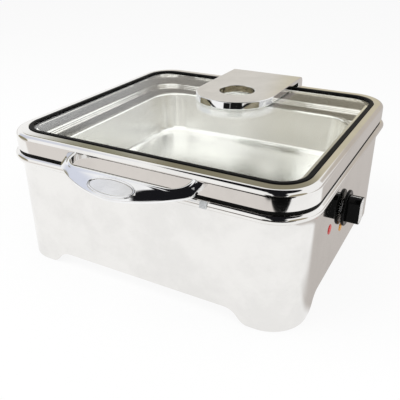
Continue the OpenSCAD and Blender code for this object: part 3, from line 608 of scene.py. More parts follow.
@dataclass
class Lid:
    """The lid's pressed frame, its gasket and its glass."""

    plan: Plan = LID_PLAN
    bottom: float = 162.0
    top: float = 185.5
    edge: float = 7.0
    sheet: float = 1.2
    hem: float = 0.5
    run_on: float = 0.4
    land_w: float = 13.5
    land_d: float = 18.7
    step_r: float = 1.0
    seat_top: float = 180.2
    seat: float = 11.0
    gasket: float = 6.0
    gasket_leg: float = 3.0
    gasket_proud: float = 1.2
    gasket_back_r: float = 0.8
    gasket_lip_r: float = 1.6
    glass_top: float = 184.3
    glass_t: float = 4.0
    arris: float = 0.5
    fit: float = 0.1

    def opening(self) -> Plan:
        """Give the outline of the step inside the steel band."""
        across, along = 2 * self.land_w, 2 * self.land_d
        return Plan(self.plan.width - across, self.plan.depth - along, self.plan.radius - self.land_w)

    def wall_profile(self) -> list[Point]:
        """List the wall's section.

        Returns:
            Points of outward distance and height, from under the steel band down and up again to its top.
        """
        bend = self.top - self.edge
        inmost = -self.edge - self.run_on
        hem = self.bottom + self.hem
        points = [(inmost, self.top - self.sheet)]
        points += arc((-self.edge, bend), self.edge - self.sheet, 90, 0, 10)
        points += [(-self.sheet, hem), (-self.sheet / 2, self.bottom), (0.0, hem), (0.0, bend - self.run_on)]
        points += arc((-self.edge, bend), self.edge, 0, 90, 14)
        return points + [(inmost, self.top)]

    def seat_profile(self) -> list[Point]:
        """List the section of the step and of the flange that carries the glass.

        Returns:
            Points of outward distance and height, from the steel band's top in, down and back under it.
        """
        under = self.seat_top - self.sheet
        points = [(self.step_r + self.run_on / 2, self.top)]
        points += arc((self.step_r, self.top - self.step_r), self.step_r, 90, 180, 4)
        points += [(0.0, self.seat_top), (-self.seat, self.seat_top), (-self.seat, under)]
        return points + [(self.sheet, under), (self.sheet, self.top - self.sheet)]

    def gasket_profile(self) -> list[Point]:
        """List the gasket's section.

        Returns:
            Points of outward distance and height, up the back, over the soft lip and down its leg.
        """
        back_r, lip_r = self.gasket_back_r, self.gasket_lip_r
        crest = self.top + self.gasket_proud
        inner = -self.fit - self.gasket
        leg = -self.fit - self.gasket_leg
        points = [(-self.fit, self.seat_top), (-self.fit, crest - back_r)]
        points += arc((-self.fit - back_r, crest - back_r), back_r, 0, 90, 4)
        points += arc((inner + lip_r, crest - lip_r), lip_r, 90, 180, 6)
        return points + [(inner, self.glass_top), (leg, self.glass_top), (leg, self.seat_top)]

    def build(self, shop: Workshop) -> None:
        """Model and dress the frame, the gasket and the glass.

        Args:
            shop: What places and dresses the pieces.
        """
        bm = bmesh.new()
        carry_round(bm, self.wall_profile(), self.plan, closed=False, corner_steps=20)
        carry_round(bm, self.seat_profile(), self.opening(), closed=False, corner_steps=20)
        for height in (self.top, self.top - self.sheet):
            bmesh.ops.bridge_loops(bm, edges=boundary_at(bm, height))
        shop.piece("lid_frame_skin", bm, Body.LID, "polished_steel", ("lid_frame",))
        bm = bmesh.new()
        carry_round(bm, self.gasket_profile(), self.opening(), corner_steps=16)
        shop.piece("glass_gasket_skin", bm, Body.LID, "black_rubber", ("glass_gasket",))
        bm = bmesh.new()
        pane = self.opening().inset(2 * self.fit + self.gasket_leg)
        low, high = self.glass_top - self.glass_t, self.glass_top
        edge = [(-self.arris, low), (0.0, low + self.arris), (0.0, high - self.arris), (-self.arris, high)]
        carry_round(bm, edge, pane, closed=False, corner_steps=16)
        for height in (low, high):
            bmesh.ops.contextual_create(bm, geom=boundary_at(bm, height))
        shop.piece("glass_pane_clear", bm, Body.LID, "glass", ("glass_pane",))


@dataclass
class Housing:
    """The outer shell with its flared top, round corners and four legs."""

    plan: Plan = LID_PLAN
    wall_in: float = 3.8
    sheet: float = 1.2
    lift: float = 1.0
    flare_z: float = 133.9
    flare_h: float = 13.0
    flare_out: float = 4.0
    run_on: float = 0.5
    arch_h: float = 18.9
    foot: float = 52.0
    sweep: float = 36.0
    sweep_rows: int = 16

    def profile(self) -> list[Point]:
        """List the shell's section.

        Returns:
            Points of outward distance and height, up the outside and down the inside.
        """
        radius = (self.flare_h**2 + self.flare_out**2) / (2 * self.flare_out)
        angle = math.degrees(math.asin(self.flare_h / radius))
        centre = (radius - self.wall_in, self.flare_z)
        points = [(-self.wall_in, self.lift), (-self.wall_in, self.flare_z - self.run_on)]
        points += arc(centre, radius, 180, 180 - angle, 10)
        points += arc(centre, radius + self.sheet, 180 - angle, 180, 10)
        return points + [(-self.wall_in - self.sheet, self.lift)]

    def arch(self, from_corner: float) -> float:
        """Find the shell's lower edge.

        Args:
            from_corner: The distance along the wall from its corner.

        Returns:
            The edge's height there.
        """
        radius = (self.sweep**2 + self.arch_h**2) / (4 * self.arch_h)
        along = from_corner - self.foot
        if along <= 0:
            return self.lift
        if along >= self.sweep:
            return self.arch_h
        if along < self.sweep / 2:
            return max(self.lift, radius - math.sqrt(radius**2 - along**2))
        return self.arch_h - radius + math.sqrt(radius**2 - (self.sweep - along) ** 2)

    def stations(self, run: float) -> list[float]:
        """List the rows along a wall.

        Args:
            run: The length of the wall's straight run.

        Returns:
            Distances along it, dense where the legs sweep up into the arch.
        """
        first = self.foot - (self.plan.radius - self.wall_in)
        rise = [first + self.sweep * k / self.sweep_rows for k in range(self.sweep_rows + 1)]
        return rise + [run / 2] + [run - row for row in reversed(rise)] + [run]

    def build(self, shop: Workshop) -> None:
        """Model and dress the shell.

        Args:
            shop: What places and dresses the piece.
        """
        bm = bmesh.new()
        carry_round(bm, self.profile(), self.plan, stations=self.stations, corner_steps=20)
        half_w = self.plan.width / 2 - self.wall_in
        half_d = self.plan.depth / 2 - self.wall_in
        for vert in bm.verts:
            if vert.co.z < self.lift + SLACK:
                from_side, from_front = half_w - abs(vert.co.x), half_d - abs(vert.co.y)
                on_side = from_side < self.sheet + SLACK
                vert.co.z = self.arch(from_front if on_side else from_side)
        shop.piece("housing_shell", bm, Body.BASE, "polished_steel", ("housing",))


@dataclass
class Pans:
    """The water pan with its rolled rim, and the food pan that hangs in it."""

    plan: Plan = LID_PLAN
    roll_out: float = 4.2
    roll_r: float = 5.5
    roll_end: float = 345.0
    rim: float = 158.0
    ledge: float = 151.0
    ledge_in: float = 5.8
    ledge_w: float = 14.0
    well: Plan = Plan(344.0, 315.0, 48.0)
    well_hem: float = 2.0
    well_floor: float = 44.0
    well_fillet: float = 12.0
    well_t: float = 1.0
    mouth: Plan = Plan(336.0, 307.0, 44.0)
    pan_rim: float = 152.1
    pan_h: float = 65.0
    pan_hem: float = 3.0
    pan_hem_end: float = 175.0
    flange: float = 9.0
    flange_lip: Point = (0.4, 0.9)
    taper: float = 6.0
    foot_ease: Point = (0.05, 0.5)
    fillet: float = 10.0
    pan_t: float = 0.8
    buffer_x: float = 95.5
    buffer_w: float = 9.0
    buffer_t: float = 2.2
    buffer_sunk: float = 0.2
    buffer_r: float = 1.0
    buffer_span: Point = (-22.0, 57.0)

    def build(self, shop: Workshop) -> None:
        """Model and dress both pans and the buffer on the rim.

        Args:
            shop: What places and dresses the pieces.
        """
        self.build_water_pan(shop)
        self.build_buffer(shop)
        self.build_food_pan(shop)

    def build_water_pan(self, shop: Workshop) -> None:
        """Model the rolled rim, the ledge and the well.

        Args:
            shop: What places and dresses the piece.
        """
        bm = bmesh.new()
        hem, foot = self.well_hem, self.well_floor + self.well_fillet
        brim = [(0.0, self.ledge), (-self.ledge_w, self.ledge)]
        carry_round(bm, brim, self.plan.inset(self.ledge_in), closed=False)
        wall = arc((hem, self.ledge - hem), hem, 90, 180, 4) + [(0.0, foot)]
        wall += arc((-self.well_fillet, foot), self.well_fillet, 0, -90, 6)[1:]
        carry_round(bm, wall, self.well, closed=False)
        rims = [edge for edge in boundary_at(bm, self.ledge) if not self.on_outline(edge)]
        bmesh.ops.bridge_loops(bm, edges=rims)
        self.close_pan(bm, self.well_floor, self.well_t)
        centre = (self.roll_out - self.roll_r, self.rim - self.roll_r)
        carry_round(bm, arc(centre, self.roll_r, 0, self.roll_end, 23), self.plan, corner_steps=20)
        shop.piece("water_pan_skin", bm, Body.BASE, "polished_steel", ("water_pan",))

    def close_pan(self, bm: Mesh, floor: float, sheet: float) -> None:
        """Close a pan's floor and give its sheet a thickness.

        Args:
            bm: The mesh of the pan's inside.
            floor: The floor's height.
            sheet: The thickness.
        """
        bmesh.ops.contextual_create(bm, geom=boundary_at(bm, floor))
        face_out(bm)
        bmesh.ops.solidify(bm, geom=bm.faces[:], thickness=sheet)

    def build_buffer(self, shop: Workshop) -> None:
        """Model the small buffer that hugs the front of the rolled rim beside the handle.

        Args:
            shop: What places and dresses the piece.
        """
        bm = bmesh.new()
        half, seat, face = self.buffer_w / 2, self.roll_r - self.buffer_sunk, self.roll_r + self.buffer_t
        corners = ((-half, seat), (half, seat), (half, face), (-half, face))
        ring = [bm.verts.new((self.buffer_x + along, -out, 0)) for along, out in corners]
        edges = [bm.edges.new(pair) for pair in zip(ring, ring[1:] + ring[:1])]
        start, end = (math.radians(angle) for angle in self.buffer_span)
        bmesh.ops.rotate(bm, verts=ring, matrix=Matrix.Rotation(-start, 3, "X"))
        bmesh.ops.spin(bm, geom=ring + edges, axis=(1, 0, 0), angle=start - end, steps=5)
        bmesh.ops.holes_fill(bm, edges=bm.edges[:], sides=4)
        roll_y = self.roll_r - self.roll_out - self.plan.depth / 2
        bmesh.ops.translate(bm, verts=bm.verts[:], vec=(0, roll_y, self.rim - self.roll_r))
        face_out(bm)
        round_edges(bm, sharp_edges(bm), self.buffer_r)
        shop.piece("rim_buffer", bm, Body.BASE, "pale_rubber", (), slot="white_plastic")

    def on_outline(self, edge: Edge) -> bool:
        """Tell whether an edge belongs to the ledge's outer outline.

        Args:
            edge: An open edge at the ledge's height.

        Returns:
            True where it lies far out from its nearest corner's centre.
        """
        outline = self.plan.inset(self.ledge_in)
        middle = (edge.verts[0].co + edge.verts[1].co) / 2
        corner_x, corner_y = outline.corner()
        out = math.hypot(max(abs(middle.x) - corner_x, 0.0), max(abs(middle.y) - corner_y, 0.0))
        return out > outline.radius - self.ledge_w / 2

    def build_food_pan(self, shop: Workshop) -> None:
        """Model the hanging pan with its flange, leaning walls and round floor edge.

        Args:
            shop: What places and dresses the piece.
        """
        bm = bmesh.new()
        rim, hem = self.pan_rim, self.pan_hem
        floor = rim - self.pan_h
        low = floor + self.fillet
        lip_w, lip_h = self.flange_lip
        section = [(self.flange, rim - lip_h), (self.flange - lip_w, rim), (hem + lip_w, rim)]
        section += arc((hem, rim - hem), hem, 90, self.pan_hem_end, 6)
        ease_in, ease_up = self.foot_ease
        section += [(-self.taper / 2, (rim + low) / 2), (ease_in - self.taper, low + ease_up)]
        section += arc((-self.taper - self.fillet, low), self.fillet, 0, -90, 8)
        carry_round(bm, section, self.mouth, closed=False, corner_steps=16)
        self.close_pan(bm, floor, self.pan_t)
        shop.piece("food_pan_skin", bm, Body.FOOD_PAN, "satin_steel", ("food_pan",))


@dataclass
class HingeTongue:
    """The chromed casting that holds the glass and turns on the rear shaft."""

    half: float = 62.0
    nose_y: float = 84.0
    hole_y: float = 88.0
    hole_r: float = 27.0
    under: float = 184.8
    bridge_y: float = 163.5
    bridge_z: float = 188.9
    top: float = 195.5
    knuckle_front: float = 198.0
    back: float = 217.0
    knuckle_low: float = 162.5
    knuckle_flat: float = 0.2
    back_round: float = 9.0
    edge: float = 1.2
    draft: float = 0.95
    side_rows: int = 14
    nose_rows: int = 48
    step_rows: int = 20
    # The colour of a painted dark reflection on the hole's wall, and the band over which it blends in, in
    # millimetres.
    bore_painted_reflection: Colour = (0.34, 0.30, 0.22)
    bore_blend: Point = (0.4, 0.1)

    def build(self, shop: Workshop) -> None:
        """Model and dress the casting.

        Args:
            shop: What places and dresses the piece.
        """
        bm = bmesh.new()
        outer, inner = [], []
        for spot in self.outline():
            outer.append(bm.verts.new((*spot, self.bridge_z)))
            inner.append(bm.verts.new((*self.on_hole(spot), self.bridge_z)))
        loops = [bm.edges.new(pair) for ring in (outer, inner) for pair in zip(ring, ring[1:] + ring[:1])]
        nose_faces = bmesh.ops.bridge_loops(bm, edges=loops)["faces"]
        row = [vert for vert in outer if vert.co.y > self.bridge_y - SLACK]
        row.sort(key=lambda vert: vert.co.x)
        strips = []
        for depth in (self.knuckle_front, self.back):
            far = [bm.verts.new((side * self.half, depth, self.bridge_z)) for side in (-1, 1)]
            strips.append(bm.faces.new((*row, *reversed(far))))
            row = far
        face_out(bm)
        draw_out(bm, bm.faces[:], self.top - self.bridge_z)
        face_out(bm)
        self.drop(bm, nose_faces, self.bridge_z - self.under)
        self.drop(bm, strips[1:], self.bridge_z - self.knuckle_low)
        face_out(bm)
        bmesh.ops.dissolve_edges(bm, edges=self.flush_edges(bm), use_verts=True)
        self.lean_nose(bm)
        knuckle_r = (self.back - self.knuckle_front) / 2 - self.knuckle_flat
        round_edges(bm, self.cross_edges(bm, self.knuckle_low), knuckle_r, 10)
        rear = [edge for edge in self.cross_edges(bm, self.top) if edge.verts[0].co.y > self.back - SLACK]
        round_edges(bm, rear, self.back_round, 12)
        round_edges(bm, sharp_edges(bm), self.edge)
        shop.finishes["tongue_casting"] = self.paint_bore_reflection(shop)
        shop.piece(
            "hinge_tongue_casting", bm, Body.LID, "tongue_casting", ("hinge_tongue",), slot="chromed_casting"
        )

    def paint_bore_reflection(self, shop: Workshop) -> Material:
        """Copy the chromed finish and paint the hole's wall darker and browner than the rest, a painted dark
        reflection.

        Args:
            shop: What holds the finishes and the middle of the lid.

        Returns:
            The casting's own finish.
        """
        finish = shop.finishes["chromed_casting"].copy()
        finish.name = "tongue_casting"
        tree = finish.node_tree
        flatten = {0: add_node(tree, "TexCoord")["Object"], 1: (1.0, 1.0, 0.0)}
        in_plan = add_node(tree, "VectorMath", flatten, operation="MULTIPLY")["Vector"]
        away = away_from(tree, in_plan, (shop.centre.x, shop.centre.y + self.hole_y * MM, 0.0))
        wall = soft_step(tree, away, *((self.hole_r + blend) * MM for blend in self.bore_blend))
        colour = tree.nodes["Principled BSDF"].inputs["Base Color"]
        # Painted dark reflection: the hole's wall is tinted darker and browner.
        tree.links.new(tinted(tree, colour.links[0].from_socket, wall, self.bore_painted_reflection), colour)
        return finish

    def outline(self) -> list[Point]:
        """List points round the nose.

        Returns:
            Points from the step's right end round the front, at nearly even bearings from the hole.
        """
        deep = self.bridge_y - self.hole_y
        corner = math.atan2(deep, self.half)
        swing = math.atan2(self.nose_y - self.hole_y, self.half) - corner
        bearings = [corner + swing * k / self.side_rows for k in range(self.side_rows)]
        side = [(self.half, self.hole_y + self.half * math.tan(bearing)) for bearing in bearings]
        nose = arc((0.0, self.nose_y), self.half, 360, 180, self.nose_rows)
        swing = math.pi - 2 * corner
        bearings = [corner + swing * k / self.step_rows for k in range(1, self.step_rows)]
        step = [(-deep / math.tan(bearing), self.bridge_y) for bearing in bearings]
        return side + nose + [(-x, y) for x, y in reversed(side)] + step

    def on_hole(self, spot: Point) -> Point:
        """Find the point of the hole's edge that lies towards a spot."""
        share = self.hole_r / math.hypot(spot[0], spot[1] - self.hole_y)
        return spot[0] * share, self.hole_y + (spot[1] - self.hole_y) * share

    def lean_nose(self, bm: Mesh) -> None:
        """Lean the nose's wall back as a cast wall leans, most at its front and not at its sides.

        Args:
            bm: The casting's mesh.
        """
        for vert in bm.verts:
            ahead = self.nose_y - vert.co.y
            reach = math.hypot(vert.co.x, ahead)
            if ahead > 0 and reach > self.half - SLACK:
                rise = (vert.co.z - self.under) / (self.top - self.under)
                out = self.draft * ahead / self.half * (1 - 2 * rise)
                vert.co.x *= 1 + out / reach
                vert.co.y = self.nose_y - ahead * (1 + out / reach)

    def drop(self, bm: Mesh, faces: list[Face], by: float) -> None:
        """Draw some faces of the underside down."""
        draw_out(bm, faces, -by)
        bmesh.ops.delete(bm, geom=[face for face in faces if face.is_valid], context="FACES")

    def flush_edges(self, bm: Mesh) -> list[Edge]:
        """List the edges of the knuckle's walls that lie within a flat face.

        Args:
            bm: The casting's mesh.

        Returns:
            The edges that start at the bridge's height.
        """
        return [
            edge
            for edge in bm.edges
            if edge.calc_face_angle(1.0) < FLUSH_ANGLE
            and all(vert.co.y > self.knuckle_front - SLACK for vert in edge.verts)
            and abs(min(vert.co.z for vert in edge.verts) - self.bridge_z) < SLACK
        ]

    def cross_edges(self, bm: Mesh, height: float) -> list[Edge]:
        """List the long edges that run from side to side.

        Args:
            bm: The casting's mesh.
            height: The height at which they run.

        Returns:
            The edges.
        """
        return [
            edge
            for edge in bm.edges
            if level_at(edge, height)
            and abs(edge.verts[0].co.y - edge.verts[1].co.y) < SLACK
            and edge.calc_length() > self.half
        ]


@dataclass
class Handle:
    """The chromed front handle: two arms, a crescent bow and a bare oval badge."""

    wall_y: float = -197.6
    root: float = 94.0
    arm: float = 14.0
    corner_x: float = 91.0
    corner_y: float = -217.0
    corner_cut: float = 5.0
    bow_cut: float = 0.78
    inner_r: float = 18.0
    bow_back: float = -221.0
    bow_front: float = -249.0
    arm_top: float = 179.5
    bow_top: float = 175.5
    bow_edge: float = 160.0
    edge_rise: float = 9.5
    edge_ease: float = 12.0
    root_edge: float = 177.5
    lip: float = 3.5
    undercut: float = 1.3
    arm_low: float = 170.0
    bow_low: float = 166.0
    lean: float = 0.45
    crown_r: float = 62.0
    bead_w: float = 5.0
    bead_most: float = 0.45
    bead_h: float = 0.8
    edge_r: float = 1.3
    wall_clear: float = 0.5
    bow_rows: int = 12
    side_rows: int = 10
    arm_rows: int = 16
    corner_rows: int = 8
    bead_rows: int = 8
    top_rows: int = 9
    badge: Point = (58.0, 18.5)
    badge_t: float = 2.6
    badge_r: float = 0.4
    badge_tilt: float = 31.0
    badge_sunk: float = 1.9
    ring: Point = (65.0, 24.5)
    ring_w: float = 2.8
    ring_t: float = 3.4
    ring_floor: float = 1.2
    ring_r: float = 1.2

    def crown(self) -> Point:
        """Find the circle of the crowned top.

        Returns:
            Its centre in Y and Z.
        """
        run = self.bow_back - self.bow_front
        fall = self.bow_top - self.bow_edge
        chord = math.hypot(run, fall)
        apothem = math.sqrt(self.crown_r**2 - chord**2 / 4)
        middle = ((self.bow_back + self.bow_front) / 2, (self.bow_top + self.bow_edge) / 2)
        return middle[0] + apothem * fall / chord, middle[1] - apothem * run / chord

    def front_at(self, x: float) -> float:
        """Find the bow's front edge.

        Args:
            x: The distance from the middle.

        Returns:
            The edge's place in Y.
        """
        sag = self.corner_y - self.bow_front
        radius = (self.corner_x**2 + sag**2) / (2 * sag)
        return self.bow_front + radius - math.sqrt(radius**2 - x**2)

    def inner_heights(self, y: float) -> Point:
        """Give the heights along the inner edge.

        Args:
            y: The place in Y.

        Returns:
            The heights of the top and the underside.
        """
        share = (self.wall_y - y) / (self.wall_y - self.bow_back)
        top = self.arm_top + (self.bow_top - self.arm_top) * share
        return top, self.arm_low + (self.bow_low - self.arm_low) * share

    def outer_heights(self, spot: Point) -> Point:
        """Give the heights along the outer edge.

        Args:
            spot: A point of the outer edge on the right half.

        Returns:
            The heights of the top and the underside, climbing from the bow's middle to the lid.
        """
        climb = math.hypot(spot[0], self.edge_ease) - self.edge_ease
        most = math.hypot(self.corner_x, self.edge_ease) - self.edge_ease
        top = self.bow_edge + self.edge_rise * min(climb / most, 1.0)
        low = top - self.lip
        if spot[1] > self.corner_y:
            share = (spot[1] - self.corner_y) / (self.wall_y - self.corner_y)
            top += (self.root_edge - top) * share
            low += (self.arm_low - low) * share
        return top, low

    def rails(self) -> list[tuple[Point, Point]]:
        """List the ends of the handle's sections.

        Returns:
            Pairs of inner and outer points from the middle to the right root.
        """
        inner_half = self.root - self.arm
        straight = inner_half - self.inner_r
        middle = [straight * k / self.bow_rows for k in range(self.bow_rows)]
        pairs = [((x, self.bow_back), (x, self.front_at(x))) for x in middle]
        inner = arc((straight, self.bow_back + self.inner_r), self.inner_r, -90, 0, 12)
        inner.append((inner_half, self.wall_y))
        outer = self.outer_path(straight)
        shares = [k / self.arm_rows for k in range(self.arm_rows + 1)]
        return pairs + [(point_along(inner, share), point_along(outer, share)) for share in shares]

    def outer_path(self, start: float) -> list[Point]:
        """List points along the outer edge.

        Args:
            start: The grip's end in X.

        Returns:
            Points from there round the corner to the lid.
        """
        before = self.corner_x - self.corner_cut * self.bow_cut
        along_bow = [start + (before - start) * k / self.side_rows for k in range(self.side_rows + 1)]
        path = [(x, self.front_at(x)) for x in along_bow]
        corner = Vector((self.corner_x, self.corner_y))
        root = Vector((self.root, self.wall_y))
        after = corner + (root - corner).normalized() * self.corner_cut
        first = Vector(path[-1])
        for k in range(1, self.corner_rows):
            share = k / self.corner_rows
            bend = first.lerp(corner, share).lerp(corner.lerp(after, share), share)
            path.append((bend.x, bend.y))
        return path + [(after.x, after.y), (root.x, root.y)]

    def section(self, bm: Mesh, inner: Point, outer: Point, side: int) -> list[Edge]:
        """Draw one closed section of the handle.

        Args:
            bm: The mesh to add to.
            inner: Its inner point on the right half.
            outer: Its outer point on the right half.
            side: 1 for the right half and -1 for its mirror image.

        Returns:
            The section's edges in order.
        """
        width = math.dist(inner, outer)
        bead = min(self.bead_w, self.bead_most * width)
        rows = [bead * k / self.bead_rows for k in range(self.bead_rows + 1)]
        rows += [bead + (width - bead) * k / self.top_rows for k in range(1, self.top_rows + 1)]
        inner_top, inner_low = self.inner_heights(inner[1])
        outer_top, outer_low = self.outer_heights(outer)
        points = []
        for row in rows:
            share = row / width
            fall = self.lean * share + (1 - self.lean) * share**2
            swell = max(0.0, 1.0 - (2 * row / bead - 1) ** 2)
            points.append((share, inner_top + (outer_top - inner_top) * fall + self.bead_h * swell))
        points.append((1.0 - self.undercut / width, outer_low))
        points += [(0.5, (inner_low + outer_low) / 2), (0.0, inner_low)]
        verts = []
        for share, height in points:
            x = inner[0] + (outer[0] - inner[0]) * share
            y = inner[1] + (outer[1] - inner[1]) * share
            verts.append(bm.verts.new((side * x, y, height)))
        return [bm.edges.new(pair) for pair in zip(verts, verts[1:] + verts[:1])]

    def build(self, shop: Workshop) -> None:
        """Model and dress the handle and its badge.

        Args:
            shop: What places and dresses the pieces.
        """
        bm = bmesh.new()
        right = self.rails()
        loops = [self.section(bm, inner, outer, -1) for inner, outer in reversed(right[1:])]
        loops += [self.section(bm, inner, outer, 1) for inner, outer in right]
        for one, two in zip(loops, loops[1:]):
            bmesh.ops.bridge_loops(bm, edges=one + two)
        for end in (loops[0], loops[-1]):
            bmesh.ops.contextual_create(bm, geom=end)
        face_out(bm)
        clear = self.wall_y - self.wall_clear
        long_edges = [edge for edge in sharp_edges(bm, 40) if all(vert.co.y < clear for vert in edge.verts)]
        round_edges(bm, long_edges, self.edge_r)
        shop.piece("handle_casting", bm, Body.LID, "chromed_casting", ("handle",))
        self.build_badge(shop)

    def oval(self, bm: Mesh, size: Point, rise: float) -> list[Face]:
        """Draw a flat oval up into a solid.

        Args:
            bm: The mesh to add to.
            size: The oval's length and width.
            rise: The solid's height.

        Returns:
            The faces of its top.
        """
        bmesh.ops.create_circle(bm, cap_ends=True, segments=ROUND_STEPS, radius=0.5)
        bmesh.ops.scale(bm, vec=(*size, 1), verts=bm.verts[:])
        draw_out(bm, bm.faces[:], rise)
        face_out(bm)
        return [face for face in bm.faces if face.normal.z > 0.5]

    def build_badge(self, shop: Workshop) -> None:
        """Model the bare oval plate and the bright ring round it.

        Args:
            shop: What places and dresses the pieces.
        """
        tilt = math.radians(self.badge_tilt)
        centre = self.crown()
        spot = (0, centre[0] - self.crown_r * math.sin(tilt), centre[1] + self.crown_r * math.cos(tilt))
        place = Matrix.Translation(spot) @ Matrix.Rotation(tilt, 4, "X")
        place = place @ Matrix.Translation((0, 0, -self.badge_sunk))
        bm = bmesh.new()
        self.oval(bm, self.badge, self.badge_t)
        round_edges(bm, sharp_above(bm, self.badge_t / 2), self.badge_r, 3)
        shop.piece(
            "handle_badge_plate",
            bm,
            Body.LID,
            "badge_steel",
            ("handle_badge",),
            slot="satin_steel",
            place=place,
        )
        bm = bmesh.new()
        crest = self.oval(bm, self.ring, self.ring_t)
        bmesh.ops.inset_region(bm, faces=crest, thickness=self.ring_w, depth=0.0)
        draw_out(bm, crest, self.ring_floor - self.ring_t)
        bmesh.ops.delete(bm, geom=[face for face in crest if face.is_valid], context="FACES_ONLY")
        face_out(bm)
        round_edges(bm, sharp_above(bm, self.ring_t - SLACK, wholly=True), self.ring_r, 5)
        shop.piece("handle_badge_ring", bm, Body.LID, "chromed_casting", (), place=place)


@dataclass
class Controls:
    """The knob and the two pilot lamps on the right wall."""

    wall_x: float = 206.2
    knob: Point = (-13.0, 90.0)
    red: Point = (-79.0, 90.0)
    amber: Point = (-19.0, 63.5)
    gap: float = 2.0
    skirt_r: float = 24.5
    skirt_t: float = 4.0
    skirt_edge: float = 1.5
    hub_r: float = 11.0
    hub_h: float = 6.0
    groove: float = 0.5
    grip_r: float = 18.5
    grip_root: float = 1.0
    grip_edge: float = 0.8
    flat: float = 12.0
    reach: float = 23.0
    cap_in: float = 1.3
    cap_rim: float = 0.4
    cap_t: float = 1.4
    pointer: Point = (1.5, 1.6)
    pointer_ends: Point = (1.0, 2.0)
    pointer_in: float = 0.7
    pointer_r: float = 0.25
    lamp_r: float = 5.2
    bezel_w: float = 1.3
    bezel_t: float = 0.4
    bezel_r: float = 0.3
    bezel_gap: float = 0.1
    dome_h: float = 1.7
    dome_r: float = 12.0

    def on_wall(self, spot: Point) -> Matrix:
        """Give the move that puts a piece made along Z on the wall, along X."""
        return Matrix.Translation((self.wall_x, *spot)) @ Matrix.Rotation(math.pi / 2, 4, "Y")

    def grip(self, bm: Mesh, inset: float, low: float) -> None:
        """Draw up a disc with two flats as far as the knob reaches.

        Args:
            bm: The empty mesh.
            inset: How far it stays inside the grip's outline.
            low: The height at which it starts.
        """
        level = Matrix.Translation((0, 0, low))
        radius = self.grip_r - inset
        bmesh.ops.create_circle(bm, cap_ends=True, segments=ROUND_STEPS, radius=radius, matrix=level)
        for side in (1, -1):
            bmesh.ops.bisect_plane(
                bm,
                geom=[*bm.verts, *bm.edges, *bm.faces],
                plane_co=(0, side * (self.flat - inset), 0),
                plane_no=(0, side, 0),
                clear_outer=True,
            )
        draw_out(bm, bm.faces[:], self.reach - low)
        face_out(bm)

    def build(self, shop: Workshop) -> None:
        """Model and dress the knob, its cap and pointer, and both lenses.

        Args:
            shop: What places and dresses the pieces.
        """
        self.build_knob(shop)
        self.build_cap(shop)
        self.build_pointer(shop)
        self.build_lens(shop, "red_lens", self.red)
        self.build_lens(shop, "amber_lens", self.amber)

    def build_knob(self, shop: Workshop) -> None:
        """Model the knob's grip with a recess for its cap, and its skirt with a groove round the grip.

        Args:
            shop: What places and dresses the piece.
        """
        bm = bmesh.new()
        gap, bend, rim = self.gap, self.skirt_edge, self.skirt_r - self.skirt_edge
        face = gap + self.skirt_t
        sunk = face - self.groove
        self.grip(bm, 0.0, face - self.grip_root)
        round_edges(bm, sharp_above(bm, face), self.grip_edge)
        crest = [item for item in bm.faces if item.calc_center_median().z > self.reach - SLACK]
        bmesh.ops.inset_region(bm, faces=crest, thickness=self.cap_rim, depth=-self.cap_t)
        skirt = [(0.0, gap + self.hub_h), (self.hub_r, gap + self.hub_h), (self.hub_r, gap), (rim, gap)]
        skirt += arc((rim, gap + bend), bend, -90, 0, 4) + arc((rim, face - bend), bend, 0, 90, 4)
        skirt += [(self.grip_r + bend, face), (self.grip_r + self.groove, sunk), (0.0, sunk)]
        turned(bm, skirt, ROUND_STEPS)
        shop.piece("knob_moulding", bm, Body.KNOB, "black_plastic", ("knob",), place=self.on_wall(self.knob))

    def build_cap(self, shop: Workshop) -> None:
        """Model the bright cap in the knob's end.

        Args:
            shop: What places and dresses the piece.
        """
        bm = bmesh.new()
        self.grip(bm, self.cap_in, self.reach - self.cap_t)
        round_edges(bm, sharp_above(bm, self.reach - SLACK, wholly=True), self.cap_rim, 3)
        place = self.on_wall(self.knob)
        shop.piece("knob_cap_disc", bm, Body.KNOB, "knob_face", ("knob_cap",), slot="aluminium", place=place)

    def build_pointer(self, shop: Workshop) -> None:
        """Model the painted line along the knob's grip.

        Args:
            shop: What places and dresses the piece.
        """
        bm = bmesh.new()
        low = self.gap + self.skirt_t + self.pointer_ends[0]
        high = self.reach - self.pointer_ends[1]
        bmesh.ops.create_cube(bm, size=1.0)
        bmesh.ops.scale(bm, vec=(*self.pointer, high - low), verts=bm.verts[:])
        bmesh.ops.translate(bm, vec=(self.pointer_in - self.grip_r, 0, (low + high) / 2), verts=bm.verts[:])
        round_edges(bm, sharp_edges(bm), self.pointer_r, 2)
        place = self.on_wall(self.knob)
        shop.piece("knob_pointer_line", bm, Body.KNOB, "paint", ("knob_pointer",), place=place)

    def build_lens(self, shop: Workshop, name: str, spot: Point) -> None:
        """Model a pilot lamp's lens: a thin bezel and a low dome.

        Args:
            shop: What places and dresses the piece.
            name: The lens and its finish.
            spot: Its place on the wall.
        """
        bm = bmesh.new()
        rim = self.lamp_r + self.bezel_w
        spread = math.degrees(math.asin(self.lamp_r / self.dome_r))
        dome = [(0.0, self.bezel_gap), (rim, self.bezel_gap), (rim, self.bezel_t)]
        dome += arc((rim - self.bezel_r, self.bezel_t), self.bezel_r, 0, 90, 3)
        dome += arc((0.0, self.dome_h - self.dome_r), self.dome_r, 90 - spread, 90, 8)
        turned(bm, dome, ROUND_STEPS // 2)
        shop.piece(name + "_cover", bm, Body.BASE, name, (name,), place=self.on_wall(spot))


# Studio


class Seen(Enum):
    """How a patch of the surroundings reaches the metal that mirrors it."""

    ANYHOW = "anyhow"
    IN_THE_OPEN = "in the open"
    THROUGH_GLASS = "through glass"


